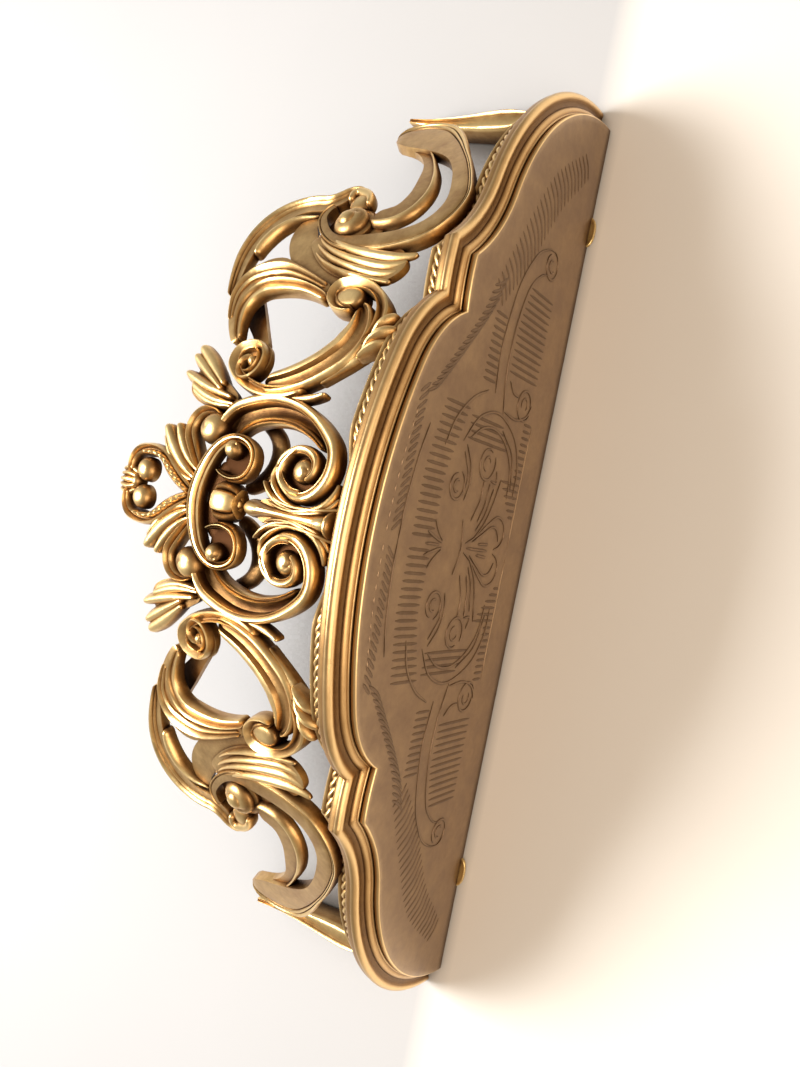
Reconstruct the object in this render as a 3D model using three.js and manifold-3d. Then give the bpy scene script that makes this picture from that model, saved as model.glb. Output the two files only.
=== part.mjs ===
// Decorative wall console: a shallow bow-fronted shelf with a moulded edge, carried by a pierced scroll apron.
// Millimetres, +Z up, +X to the viewer's right, front towards -Y. The wall is the plane Y = 0.
// The origin is the middle of the shelf's flat back edge.
import * as THREE from "three";
import { ConvexGeometry } from "three/addons/geometries/ConvexGeometry.js";
import { mergeVertices } from "three/addons/utils/BufferGeometryUtils.js";
import Module from "manifold-3d";

const wasm = await Module();
wasm.setup();
const { Manifold, Mesh: SolidMesh } = wasm;

// ---- driving sizes ----
const SHELF_T = 12; // thickness of the shelf at its back edge
const TOP = SHELF_T / 2; // height of the shelf's upper face
const BACK = 0; // the wall plane
const SEAT = 0.3; // gap between the shelf's underside and the apron
const DEG = Math.PI / 180;

// Half outline of the shelf's upper face, seen from above: each run starts at a corner and is a chain of arcs [length, turn in degrees].
const OUTLINE = [
  { at: [0, -134.7], dir: 0, arcs: [[68.8, 20.3], [34.9, 44.0]] }, // bowed front, running back to the notch beside the ear
  { at: [92.5, -99.8], dir: -9.8, arcs: [[22.4, 14.5]] }, // front of the ear
  { at: [114.8, -100.8], dir: 51.2, arcs: [[42.1, -36.0], [107.4, 71.4]] }, // hollow flank and rounded end
];

// Edge moulding, from the upper arris down: [distance outside the outline, depth below the upper face].
const MOULDING = [
  [0, 0], [0, 2.2], [-1, 2.6], [0.6, 3.4], [1.6, 4.3], [6.8, 4.8], [8.9, 5.4], [9.7, 6.6], [8.9, 7.8], [8.3, 11.6], [6, SHELF_T],
];

// Rail of the apron under the shelf: a beaded roll that follows the shelf's edge.
const RAIL = { offset: 2.5, centre_offset: -4.5, fade: 40, top: 12.3, bottom: 20.5, width: 6.5 };

// Hangers: small round-headed plates let into the shelf's back edge.
const HANGER = { x: 162, width: 15, thick: 1.6, rise: 3, drop: 8, gap: 0.3 };

// End struts: leaf-shaped legs against the wall.
const STRUT = { x: 215, front: -14, top: 11.6, tip: 110, widest: 11, at: 54, foot: 3 };

// ---- apron surface ----
// The apron is bowed in plan like the shelf and leans back slightly. u runs along it from the middle, h is depth below the shelf's upper face, n is distance in front.
const BOW = { half: 215, depth: 134, power: 1.6, root: 0.6, straight_from: 170, end: 222, lean: 0.0009 };

const bowY = (x) => {
  const g = (v) => Math.pow(1 - Math.pow(v / BOW.half, BOW.power), BOW.root);
  if (x < BOW.straight_from) return -BOW.depth * g(x);
  const slope = (g(BOW.straight_from) - g(BOW.straight_from - 0.5)) / 0.5;
  return -BOW.depth * (g(BOW.straight_from) + slope * (x - BOW.straight_from));
};
const bow = (() => {
  const pts = [[0, 0, bowY(0)]];
  const n = 900;
  for (let i = 1; i <= n; i++) {
    const x = (BOW.end * i) / n, y = bowY(x), p = pts[i - 1];
    pts.push([p[0] + Math.hypot(x - p[1], y - p[2]), x, y]);
  }
  return pts;
})();
const onBow = (u) => {
  const a = Math.abs(u), last = bow.length - 1;
  let lo = 0, hi = last;
  while (hi - lo > 1) {
    const m = (lo + hi) >> 1;
    if (bow[m][0] <= a) lo = m; else hi = m;
  }
  const f = (a - bow[lo][0]) / (bow[hi][0] - bow[lo][0]);
  const x = bow[lo][1] + f * (bow[hi][1] - bow[lo][1]), y = bow[lo][2] + f * (bow[hi][2] - bow[lo][2]);
  return [u < 0 ? -x : x, y];
};
// Point of the apron at (u, h, n).
const surface = (u, h, n) => {
  const [x, y] = onBow(u), [xa, ya] = onBow(u - 0.6), [xb, yb] = onBow(u + 0.6);
  const s = 1 - BOW.lean * h;
  const tx = xb - xa, ty = (yb - ya) * s, l = Math.hypot(tx, ty);
  return [x + (ty / l) * n, y * s - (tx / l) * n, TOP - h];
};

// ---- strokes of the apron ----
// Every band, scroll and leaf is one stroke: a start point (u, h), a heading, a chain of arcs [length, turn in degrees] and its widths at equal steps.
// relief is how far it stands in front of the apron surface, depth how far it reaches behind, lift moves it bodily forward.
const STROKES = [
  { name: "end_outer", at: [211, 91], dir: -38, arcs: [[13.4, -76], [80.3, -47.2], [33.5, -85.7], [55.6, -66.5], [12.1, -45.6]], w: [4, 18, 20.5, 15.5, 12, 13.2, 13.8, 10.6, 7.8, 5.6, 3.5], relief: 4, depth: 7 },
  { name: "end_fan", at: [116, 34], dir: 98, arcs: [[64, -47]], w: [20, 19.5, 15.5, 8], relief: 3.5, depth: 6 },
  { name: "end_inner", at: [208.1, 83.3], dir: -113.9, arcs: [[51.6, -43.8], [13, -20.3], [14.3, -61.1], [16.4, -28.2]], w: [4, 10, 9.5, 9.5, 10.5, 13.5, 15.9, 16.4, 14.2, 8], relief: 3, depth: 7 },
  { name: "end_web", at: [136.2, 58.9], dir: 78.6, arcs: [[27, -4.4]], w: [16.9, 21, 21.9, 21.1], relief: -2, depth: 6 },
  { name: "lower_ribbon", at: [161, 81], dir: 38, arcs: [[13.4, 98.1], [14.2, -54.8], [40.7, 86.7], [19.1, 23.5], [20.4, 9.8]], w: [6, 10.6, 12.2, 15.1, 12.7, 8.4, 4.1], relief: 3, depth: 7 },
  { name: "web_low", at: [149.4, 104.2], dir: 142.5, arcs: [[14.2, 64.4], [47, 46.3]], w: [10, 16, 15, 14, 12], relief: 0, depth: 5 },
  { name: "web_side", at: [108.4, 61.5], dir: 89.8, arcs: [[26.7, -31.2]], w: [6.3, 8.7, 9.9, 10.6], relief: 0, depth: 5 },
  { name: "double_band", at: [99.3, 67.9], dir: 67.3, arcs: [[40.8, 15], [24.3, 103.5], [24.7, 33.7]], w: [7.5, 9.6, 12.3, 17.3, 24.5, 26.2, 20.8, 13.4, 8.3, 5], relief: 2.5, depth: 7 },
  { name: "strap", at: [105.7, 124.1], dir: -162.1, arcs: [[16.5, 24.5], [24.2, -3]], w: [9.1, 11.5, 8.8, 6.2], relief: 1, depth: 5, lift: -5 },
  { name: "s_band", at: [91.6, 43.4], dir: -138.4, arcs: [[25, -88.1], [41.6, -39.5]], w: [6.5, 13.7, 18.6, 18.2, 16.7, 15.7, 14.3, 12.4, 9.3], relief: 3, depth: 6 },
  { name: "s_hook", at: [72.8, 33.8], dir: -49.9, arcs: [[20.8, 84.6], [30.8, 68.8], [8.9, 111.9], [15.3, 66.6]], w: [3, 6.4, 7.7, 5.9, 5, 5.3, 6.7, 8, 6.2, 4.5, 3.6], relief: 4.6, depth: 6 },
  { name: "volute", at: [52, 56.1], dir: 110.6, arcs: [[39.9, -45.9], [11.4, -24], [10.2, -105.9], [11.4, -40]], w: [5, 6.5, 6.3, 6, 6.2, 7, 8.2, 6.3, 4.6], relief: 4.4, depth: 6 },
  { name: "volute_ring", at: [70.4, 95], dir: -92, arcs: [[23.4, -180], [13.5, -190]], w: [4.6, 5.2, 5.6, 5.2, 4.4, 3.8], relief: 4.8, depth: 5 },
  { name: "leaf_clasp", at: [79, 15.5], dir: 112, arcs: [[20, 27.6], [35, -11.5]], w: [14, 13.6, 10.5, 8, 5, 3.2], relief: 4.5, depth: 6 },
  { name: "spur", at: [50.9, 43.7], dir: 109.4, arcs: [[26.4, -26.6]], w: [2.4, 4.3, 3.6, 3.2], relief: 2, depth: 4 },
  { name: "c_outer", at: [8.7, 46.8], dir: -114.9, arcs: [[40, 163.4], [61.1, 60.5], [20.2, 74.3]], w: [3.6, 6.5, 6, 4.6, 4.6, 6.1, 3.5], relief: 4, depth: 6 },
  { name: "c_inner", at: [28.2, 35.2], dir: 54.8, arcs: [[43, 50.2], [15.8, 50.7]], w: [2.4, 3.1, 3.5, 4.5, 3.4], relief: 3, depth: 5 },
  { name: "c_web", at: [30.1, 34.1], dir: 48.5, arcs: [[58.7, 70.1], [14.4, 74.6]], w: [3.8, 5.4, 5.4, 6.3, 8.1, 10.5, 5.4], relief: -1, depth: 6 },
  { name: "coil", at: [9.4, 39.6], dir: 101.7, arcs: [[16.2, -63.7], [9.2, -81.8], [17.6, -82.9], [12.2, -129.7]], w: [3.1, 3.9, 4.8, 4.4, 3.7, 3.9, 2.8], relief: 3.6, depth: 5 },
  { name: "palm_side", at: [15.9, 22.8], dir: -167.2, arcs: [[14.3, -83.8], [31.3, -39.4]], w: [3.4, 6, 5.6, 5, 4.6, 4.2, 2.4], relief: 4, depth: 6 },
  { name: "spray", at: [18.6, 53.5], dir: 150, arcs: [[9, 60], [18, 62]], w: [5, 7.5, 6, 4, 2.4], relief: 3.4, depth: 5 },
  { name: "palmette", at: [0, 14], dir: 90, arcs: [[56, 0]], w: [9, 7.8, 4.4, 3.9, 3.5, 3.2, 3.4, 4, 5.5, 7, 3.4], relief: 5, depth: 7 },
  { name: "smile", at: [12.2, 89.5], dir: -120.8, arcs: [[16, 47.8], [16.9, 128.9], [27.3, 93], [19.9, 30.2]], w: [2.6, 2.8, 3.4, 3.9, 3.6, 3.8, 5.6, 7.6, 8.8, 9.2], relief: 3.4, depth: 8, lift: 3.8 },
  { name: "husk", at: [0, 70], dir: 90, arcs: [[24, 0]], w: [8, 13.9, 15, 14, 10], relief: 5, depth: 7, lift: 1 },
  { name: "leaf_left", at: [50.5, 104], dir: 57, arcs: [[36, 2]], w: [6, 10, 13, 9], relief: 3, depth: 5 },
  { name: "leaf_right", at: [43.5, 94], dir: 86, arcs: [[44, -22]], w: [6, 9.5, 11.5, 6.5], relief: 3.4, depth: 5 },
  { name: "curl_tail", at: [35.8, 100.5], dir: 62.8, arcs: [[12.2, 36.7], [17.1, 120.1], [22.6, 12.2]], w: [3, 4.6, 7.8, 8.3, 7.2, 5.9, 4], relief: 3.6, depth: 5 },
  { name: "broad_leaf", at: [8, 104], dir: 73, arcs: [[38, -38]], w: [7, 12, 15.5, 14], relief: 3.4, depth: 5 },
  { name: "tail_ring", at: [1, 106.5], dir: 72.4, arcs: [[23.7, -17.5], [25.1, 52.4], [14.1, 113.4]], w: [5, 7.6, 8.2, 6.4, 5.6, 6.4, 4.2], relief: 4, depth: 5 },
  { name: "centre_stem", at: [0, 92], dir: 90, arcs: [[20, 0]], w: [10, 8, 5], relief: 3, depth: 6 },
  { name: "rear_arch", at: [38.4, 82.6], dir: -107.2, arcs: [[11.5, -21.2], [21.2, -94.5], [13.7, -35.4]], w: [5.8, 7.2, 8.8, 9.2, 7.8, 6.3], relief: 1, depth: 6, lift: -5 },
];

// Bosses: balls, knobs and rosettes (u, h, half width, half height, relief, depth, lift).
const BOSSES = [
  { name: "end_ball", at: [140.8, 76.8], r: [10.2, 10.8], relief: 7, depth: 6 },
  { name: "knob", at: [160, 82], r: [6.4, 6.4], relief: 4.5, depth: 6 },
  { name: "volute_disc", at: [64, 93.8], r: [8.6, 9.6], relief: 2, depth: 6 },
  { name: "volute_eye", at: [62.6, 93.2], r: [3, 3.4], relief: 5, depth: 5 },
  { name: "coil_boss", at: [18, 41.8], r: [4, 4.4], relief: 4, depth: 5 },
  { name: "smile_boss", at: [21.6, 82.4], r: [4.3, 5], relief: 4.8, depth: 8, lift: 3.6 },
  { name: "curl_lobe", at: [31.8, 103.4], r: [5.8, 7], relief: 4.6, depth: 5 },
  { name: "fin_ball", at: [6.5, 143.6], r: [5.9, 6.6], relief: 5, depth: 5 },
  { name: "fin_web", at: [6.8, 147], r: [9.5, 8.5], relief: -1, depth: 4 },
  { name: "rosette", at: [0, 157], r: [7, 6.6], relief: 4, depth: 5 },
  { name: "eye_web", at: [95.4, 51.6], r: [8, 8.5], relief: -0.5, depth: 5 },
  { name: "coil_web", at: [17.5, 43], r: [8.5, 9.5], relief: -1, depth: 5 },
  { name: "s_eye", at: [95.4, 52.4], r: [3.8, 4.4], relief: 4, depth: 5 },
];

// ---- helpers ----
// Stations [u, h, heading] along a chain of arcs, at most `turn` degrees and `step` mm apart.
function walk(run, turn, step) {
  let [x, y] = run.at, a = run.dir * DEG;
  const out = [{ p: [x, y], a, s: 0 }];
  let s = 0;
  for (const [len, deg] of run.arcs) {
    const n = Math.max(1, Math.ceil(Math.max(Math.abs(deg) / turn, len / step)));
    const d = (deg * DEG) / n, l = len / n;
    for (let i = 0; i < n; i++) {
      const chord = Math.abs(d) < 1e-9 ? l : (l * Math.sin(d / 2)) / (d / 2);
      x += chord * Math.cos(a + d / 2);
      y += chord * Math.sin(a + d / 2);
      a += d;
      s += l;
      out.push({ p: [x, y], a, s });
    }
  }
  for (const o of out) o.t = o.s / s;
  return out;
}
const along = (values, t) => {
  const k = Math.min(values.length - 2, Math.floor(t * (values.length - 1))), f = t * (values.length - 1) - k;
  return values[k] * (1 - f) + values[k + 1] * f;
};
function solidOf(geometry) {
  geometry.deleteAttribute("normal");
  geometry.deleteAttribute("uv");
  const g = mergeVertices(geometry, 1e-4);
  return new Manifold(new SolidMesh({ numProp: 3, vertProperties: new Float32Array(g.attributes.position.array), triVerts: new Uint32Array(g.index.array) }));
}
const hull = (points) => solidOf(new ConvexGeometry(points.map((p) => new THREE.Vector3(...p))));
// Sum of many solids, joined two by two.
function joined(solids) {
  let list = solids;
  while (list.length > 1) {
    const next = [];
    for (let i = 0; i < list.length; i += 2) next.push(i + 1 < list.length ? list[i].add(list[i + 1]) : list[i]);
    list = next;
  }
  return list[0];
}
// A solid with each vertex moved by f.
function moved(solid, f) {
  const m = solid.getMesh(), n = m.numProp, v = new Float32Array(m.numVert * 3);
  for (let i = 0; i < m.numVert; i++) v.set(f(m.vertProperties[i * n], m.vertProperties[i * n + 1], m.vertProperties[i * n + 2]), i * 3);
  return new Manifold(new SolidMesh({ numProp: 3, vertProperties: v, triVerts: new Uint32Array(m.triVerts) }));
}
function meshOf(solid) {
  const m = solid.getMesh(), n = m.numProp, v = new Float32Array(m.numVert * 3);
  for (let i = 0; i < m.numVert; i++) v.set(m.vertProperties.subarray(i * n, i * n + 3), i * 3);
  const g = new THREE.BufferGeometry();
  g.setAttribute("position", new THREE.BufferAttribute(v, 3));
  g.setIndex(new THREE.BufferAttribute(new Uint32Array(m.triVerts), 1));
  g.computeVertexNormals();
  return g;
}

// ---- shelf ----
// Whole outline at a distance `out` outside the upper face's edge, from the left back corner round the front to the right back corner; corners are mitred.
function outline(out, turn = 9, step = 14) {
  const runs = OUTLINE.map((r) => walk(r, turn, step).map((q) => [q.p[0] + Math.sin(q.a) * out, q.p[1] - Math.cos(q.a) * out]));
  for (let i = 0; i + 1 < runs.length; i++) mitre(runs[i], runs[i + 1]);
  const half = runs[0].concat(runs[1].slice(1), runs[2].slice(1));
  half[0][0] = 0;
  half[half.length - 1][1] = BACK;
  return half.slice(1).reverse().map(([x, y]) => [-x, y]).concat(half);
}
// Trims or extends the end of run a and the start of run b to where they meet, keeping each run's number of points.
function mitre(a, b) {
  let hit = null;
  for (let i = a.length - 2; i >= 0 && !hit; i--)
    for (let j = 0; j < b.length - 1 && !hit; j++) {
      const p = a[i], q = a[i + 1], r = b[j], s = b[j + 1];
      const dx = q[0] - p[0], dy = q[1] - p[1], ex = s[0] - r[0], ey = s[1] - r[1], den = dx * ey - dy * ex;
      if (Math.abs(den) < 1e-9) continue;
      const t = ((r[0] - p[0]) * ey - (r[1] - p[1]) * ex) / den, w = ((r[0] - p[0]) * dy - (r[1] - p[1]) * dx) / den;
      const okA = t >= 0 && (t <= 1 || i === a.length - 2), okB = w <= 1 && (w >= 0 || j === 0);
      if (okA && okB) hit = { i, j, p: [p[0] + t * dx, p[1] + t * dy] };
    }
  if (!hit) return;
  respace(a, a.slice(0, hit.i + 1).concat([hit.p]));
  respace(b, [hit.p].concat(b.slice(hit.j + 1)));
}
// Replaces the points of a run with as many points, evenly spaced along a polyline.
function respace(run, line) {
  const cum = [0];
  for (let i = 1; i < line.length; i++) cum.push(cum[i - 1] + Math.hypot(line[i][0] - line[i - 1][0], line[i][1] - line[i - 1][1]));
  const n = run.length, total = cum[cum.length - 1];
  for (let k = 0, i = 0; k < n; k++) {
    const s = (total * k) / (n - 1);
    while (i < line.length - 2 && cum[i + 1] < s) i++;
    const f = (s - cum[i]) / (cum[i + 1] - cum[i] || 1);
    run[k] = [line[i][0] + f * (line[i + 1][0] - line[i][0]), line[i][1] + f * (line[i + 1][1] - line[i][1])];
  }
}
// Closed solid through a stack of equal-length outlines at given heights, capped top and bottom, flat at the wall.
function stacked(rings) {
  const n = rings[0].pts.length, pos = [], idx = [];
  for (const r of rings) for (const [x, y] of r.pts) pos.push(x, y, r.z);
  for (let k = 0; k + 1 < rings.length; k++)
    for (let i = 0; i < n; i++) {
      const a = k * n + i, b = k * n + ((i + 1) % n), c = a + n, d = b + n;
      idx.push(a, c, b, b, c, d);
    }
  const cap = (k, flip) => {
    const shape = rings[k].pts.map(([x, y]) => new THREE.Vector2(x, y));
    for (const [a, b, c] of THREE.ShapeUtils.triangulateShape(shape, [])) idx.push(...(flip ? [k * n + a, k * n + c, k * n + b] : [k * n + a, k * n + b, k * n + c]));
  };
  cap(0, false);
  cap(rings.length - 1, true);
  const g = new THREE.BufferGeometry();
  g.setAttribute("position", new THREE.Float32BufferAttribute(pos, 3));
  g.setIndex(idx);
  return solidOf(g);
}
const block = (x0, x1, y0, y1, z0, z1) => {
  const g = new THREE.BoxGeometry(x1 - x0, y1 - y0, z1 - z0);
  g.translate((x0 + x1) / 2, (y0 + y1) / 2, (z0 + z1) / 2);
  return solidOf(g);
};
function shelfTop() {
  let s = stacked(MOULDING.map(([out, h]) => ({ pts: outline(out), z: TOP - h })));
  for (const side of [-1, 1]) {
    const w = HANGER.width / 2 + HANGER.gap;
    s = s.subtract(block(side * HANGER.x - w, side * HANGER.x + w, -HANGER.thick - HANGER.gap, 5, TOP - HANGER.drop - HANGER.gap, TOP + 20));
  }
  return s;
}

// ---- hangers ----
function hanger(side) {
  const w = HANGER.width / 2, shape = new THREE.Shape();
  shape.moveTo(-w, -HANGER.drop);
  shape.lineTo(w, -HANGER.drop);
  shape.lineTo(w, -1.5);
  shape.quadraticCurveTo(w, HANGER.rise, 0, HANGER.rise);
  shape.quadraticCurveTo(-w, HANGER.rise, -w, -1.5);
  const g = new THREE.ExtrudeGeometry(shape, { depth: HANGER.thick, bevelEnabled: false, curveSegments: 8 });
  g.rotateX(Math.PI / 2);
  g.translate(side * HANGER.x, BACK, TOP);
  return solidOf(g);
}

// ---- apron ----
// One stroke in flat (u, h, n) space: crowned sections lofted from station to station, in spans that turn less than 150 degrees.
// On the inside of a tight curl the section is held short of the curl's centre.
function stroke(st) {
  const lift = st.lift || 0, back = lift - st.depth, front = lift + st.relief, shoulder = front - Math.min(1.6, (front - back) * 0.4);
  const q = walk(st, 52, 27), solids = [];
  const section = (i, shift) => {
    const { p, a, t } = q[i], w = along(st.w, t) / 2, nx = -Math.sin(a), ny = Math.cos(a);
    const bend = (k) => (q[k].a - q[k - 1].a) / (q[k].s - q[k - 1].s);
    const c = Math.max(Math.abs(i > 0 ? bend(i) : 0), Math.abs(i + 1 < q.length ? bend(i + 1) : 0)), left = (i > 0 ? bend(i) : bend(1)) > 0;
    const inner = c > 1e-6 ? Math.min(w, 0.85 / c) : w;
    const wl = left ? inner : w, wr = left ? w : inner;
    const at = (d, n) => [p[0] + nx * d + Math.cos(a) * shift, p[1] + ny * d + Math.sin(a) * shift, n];
    return [at(-wr, back), at(wl, back), at(wl, shoulder), at((wl - wr) / 2, front), at(-wr, shoulder)];
  };
  let from = 0;
  while (from < q.length - 1) {
    let to = from + 1, turned = Math.abs(q[to].a - q[from].a);
    while (to + 1 < q.length && turned + Math.abs(q[to + 1].a - q[to].a) < 150 * DEG) {
      to++;
      turned += Math.abs(q[to].a - q[to - 1].a);
    }
    const rings = [];
    for (let i = from; i <= to; i++) rings.push(section(i, i === from && from > 0 ? -0.25 : i === to && to < q.length - 1 ? 0.25 : 0));
    solids.push(loft(rings));
    from = to;
  }
  return solids;
}
// Closed solid through rings of equal length, with flat ends.
function loft(rings) {
  const n = rings[0].length, idx = [], last = (rings.length - 1) * n;
  for (let k = 0; k + 1 < rings.length; k++)
    for (let i = 0; i < n; i++) {
      const a = k * n + i, b = k * n + ((i + 1) % n), c = a + n, d = b + n;
      idx.push(a, b, c, b, d, c);
    }
  for (let i = 1; i + 1 < n; i++) idx.push(0, i + 1, i, last, last + i, last + i + 1);
  const g = new THREE.BufferGeometry();
  g.setAttribute("position", new THREE.Float32BufferAttribute(rings.flat(2), 3));
  g.setIndex(idx);
  const s = solidOf(g);
  return s.volume() < 0 ? flipped(s) : s;
}
function boss(b) {
  const lift = b.lift || 0, pts = [], n = 8;
  for (let i = 0; i < n; i++) {
    const a = (2 * Math.PI * (i + 0.5)) / n, c = Math.cos(a), s = Math.sin(a);
    pts.push([b.at[0] + b.r[0] * c, b.at[1] + b.r[1] * s, lift - b.depth]);
    pts.push([b.at[0] + b.r[0] * c, b.at[1] + b.r[1] * s, lift + b.relief * 0.35]);
    pts.push([b.at[0] + b.r[0] * 0.6 * c, b.at[1] + b.r[1] * 0.6 * s, lift + b.relief]);
  }
  return [hull(pts)];
}
// Rail: a six-sided bar that runs below the shelf's edge, set back at the middle where the bow is flattest.
function rail() {
  const turn = 9, step = 14;
  const line = (extra) => {
    const half = outline(RAIL.offset + extra, turn, step);
    return half.map(([x, y]) => {
      const k = Math.min(1, Math.max(0, (RAIL.fade - Math.abs(x)) / 22));
      return [x * (1 - 0.012 * k), y - (RAIL.centre_offset - RAIL.offset) * k * k * (3 - 2 * k)];
    });
  };
  const outer = line(0), inner = line(-RAIL.width), mid = (RAIL.top + RAIL.bottom) / 2;
  const section = [[0, RAIL.top], [0.75, RAIL.top], [1, mid - 1.5], [1, mid + 1], [0.6, RAIL.bottom], [0, RAIL.bottom]];
  return [loft(outer.map((o, k) => section.map(([f, h]) => [inner[k][0] + (o[0] - inner[k][0]) * f, Math.min(BACK, inner[k][1] + (o[1] - inner[k][1]) * f), TOP - h])))];
}
function strut(side) {
  const levels = [[STRUT.top, 7], [30, 7], [STRUT.at - 8, STRUT.widest], [STRUT.at + 8, STRUT.widest - 1], [86, 6], [STRUT.tip, STRUT.foot]];
  const rings = levels.map(([h, w]) => {
    const x0 = side * STRUT.x - w / 2, x1 = side * STRUT.x + w / 2, xm = side * STRUT.x;
    return [[x0, BACK], [x1, BACK], [x1, STRUT.front + 3], [xm, STRUT.front], [x0, STRUT.front + 3]].map(([x, y]) => [x, y, TOP - h]);
  });
  const links = rings.slice(1).map((r, i) => hull(r.concat(rings[i])));
  // arm from the strut to the horn of the end scroll
  const horn = (u, h, w, t) => [[-1, -1], [1, -1], [1, 1], [-1, 1]].map(([a, b]) => surface(side * u, h + (a * w) / 2, -3 + b * t));
  const foot = [[84, 2.6], [94, 2.4]].flatMap(([h, w]) => [[-w, STRUT.front + 1], [w, STRUT.front + 1], [w, STRUT.front + 8], [-w, STRUT.front + 8]].map(([x, y]) => [side * STRUT.x + x, y, TOP - h]));
  links.push(hull(foot.concat(horn(213, 82, 9, 3))));
  return links;
}
function apron() {
  const flat = [];
  for (const st of STROKES) flat.push(...stroke(st));
  for (const b of BOSSES) flat.push(...boss(b));
  const half = joined(flat);
  const whole = joined([fromFlat(half.add(mirrored(half))), ...rail(), ...strut(-1), ...strut(1)]);
  return largest(whole.intersect(block(-300, 300, -300, BACK, TOP - 300, TOP - SHELF_T - SEAT)));
}
// The one body of a solid, without the splinters that nearly flush joins leave.
function largest(solid) {
  const bodies = solid.decompose().sort((a, b) => b.volume() - a.volume());
  const stray = bodies.slice(1).filter((b) => b.volume() > 1);
  if (stray.length) console.log("detached: " + stray.map((b) => b.volume().toFixed(0) + " mm3 at " + b.boundingBox().min.map((v) => v.toFixed(0)) + " to " + b.boundingBox().max.map((v) => v.toFixed(0))).join("; "));
  return bodies[0];
}
// Mirror image in u, with its faces turned round to stay outward.
function mirrored(solid) {
  const m = solid.getMesh(), n = m.numProp, v = new Float32Array(m.numVert * 3), t = new Uint32Array(m.triVerts);
  for (let i = 0; i < m.numVert; i++) v.set([-m.vertProperties[i * n], m.vertProperties[i * n + 1], m.vertProperties[i * n + 2]], i * 3);
  for (let i = 0; i < t.length; i += 3) [t[i + 1], t[i + 2]] = [t[i + 2], t[i + 1]];
  return new Manifold(new SolidMesh({ numProp: 3, vertProperties: v, triVerts: t }));
}
// Flat (u, h, n) solid bent onto the apron surface.
function fromFlat(solid) {
  const b = moved(solid, surface);
  return b.volume() < 0 ? flipped(b) : b;
}
function flipped(solid) {
  const m = solid.getMesh(), n = m.numProp, v = new Float32Array(m.numVert * 3), t = new Uint32Array(m.triVerts);
  for (let i = 0; i < m.numVert; i++) v.set(m.vertProperties.subarray(i * n, i * n + 3), i * 3);
  for (let i = 0; i < t.length; i += 3) [t[i + 1], t[i + 2]] = [t[i + 2], t[i + 1]];
  return new Manifold(new SolidMesh({ numProp: 3, vertProperties: v, triVerts: t }));
}

// ---- assembly ----
const group = new THREE.Group();
function add(name, solid, colour, roughness, metalness) {
  const mesh = new THREE.Mesh(meshOf(solid), new THREE.MeshStandardMaterial({ color: colour, roughness, metalness }));
  mesh.name = name;
  group.add(mesh);
}
const shelf = shelfTop();
add("shelf_top", shelf, 0x8c6c4e, 0.5, 0.6);
add("scroll_bracket", apron(), 0xbe9155, 0.4, 0.8);
add("hanger_left", hanger(-1), 0xc9a45c, 0.35, 0.9);
add("hanger_right", hanger(1), 0xc9a45c, 0.35, 0.9);
export default group;
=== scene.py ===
import math

import bpy
import numpy as np
from mathutils import Matrix, Vector


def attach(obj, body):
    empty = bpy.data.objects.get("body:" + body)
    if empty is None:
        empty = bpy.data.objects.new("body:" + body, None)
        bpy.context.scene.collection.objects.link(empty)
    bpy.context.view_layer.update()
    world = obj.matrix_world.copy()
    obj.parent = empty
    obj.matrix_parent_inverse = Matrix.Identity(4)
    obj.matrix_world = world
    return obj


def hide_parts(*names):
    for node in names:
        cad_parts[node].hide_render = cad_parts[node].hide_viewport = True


# Antique-gold wall console: bow-fronted shelf with a moulded edge, carried by a pierced scroll apron.
# Lengths in this file are millimetres until the meshes are made; the frame is the CAD part's own.
MM = 0.001
DEG = math.pi / 180
TOP = 6.0

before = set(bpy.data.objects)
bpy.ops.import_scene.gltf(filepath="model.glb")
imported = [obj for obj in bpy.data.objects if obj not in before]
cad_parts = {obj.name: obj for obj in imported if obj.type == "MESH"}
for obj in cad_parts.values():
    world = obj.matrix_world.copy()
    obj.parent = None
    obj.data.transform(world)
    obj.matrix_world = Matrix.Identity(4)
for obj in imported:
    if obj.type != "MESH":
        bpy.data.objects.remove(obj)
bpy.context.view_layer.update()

# ------------------------------------------------------------------ plan of the shelf
OUTLINE = [
    dict(at=(0, -134.7), dir=0, arcs=[(68.8, 20.3), (34.9, 44.0)]),
    dict(at=(92.5, -99.8), dir=-9.8, arcs=[(22.4, 14.5)]),
    dict(at=(114.8, -100.8), dir=51.2, arcs=[(42.1, -36.0), (107.4, 71.4)]),
]

# ------------------------------------------------------------------ bowed surface of the apron
BOW = dict(half=215.0, depth=134.0, power=1.6, root=0.6, straight=170.0, end=240.0, lean=0.0009)


def _bow_y(x):
    g = lambda v: (1 - (min(v, 214.99) / BOW["half"]) ** BOW["power"]) ** BOW["root"]
    if x < BOW["straight"]:
        return -BOW["depth"] * g(x)
    slope = (g(BOW["straight"]) - g(BOW["straight"] - 0.5)) / 0.5
    return -BOW["depth"] * (g(BOW["straight"]) + slope * (x - BOW["straight"]))


BX = np.linspace(0, BOW["end"], 1400)
BY = np.array([_bow_y(x) for x in BX])
BU = np.concatenate([[0], np.cumsum(np.hypot(np.diff(BX), np.diff(BY)))])


def surface(u, h, n):
    """Points of the apron at (u, h, n): u along the bow from the middle, h below the shelf's top, n in front."""
    u, h, n = (np.asarray(v, float) for v in (u, h, n))
    s = 1 - BOW["lean"] * h

    def plan(v):
        a = np.abs(v)
        return np.sign(v) * np.interp(a, BU, BX), np.interp(a, BU, BY)

    x, y = plan(u)
    xa, ya = plan(u - 0.8)
    xb, yb = plan(u + 0.8)
    tx, ty = xb - xa, (yb - ya) * s
    l = np.hypot(tx, ty)
    return np.stack([x + ty / l * n, y * s - tx / l * n, TOP - h], -1)


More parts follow.
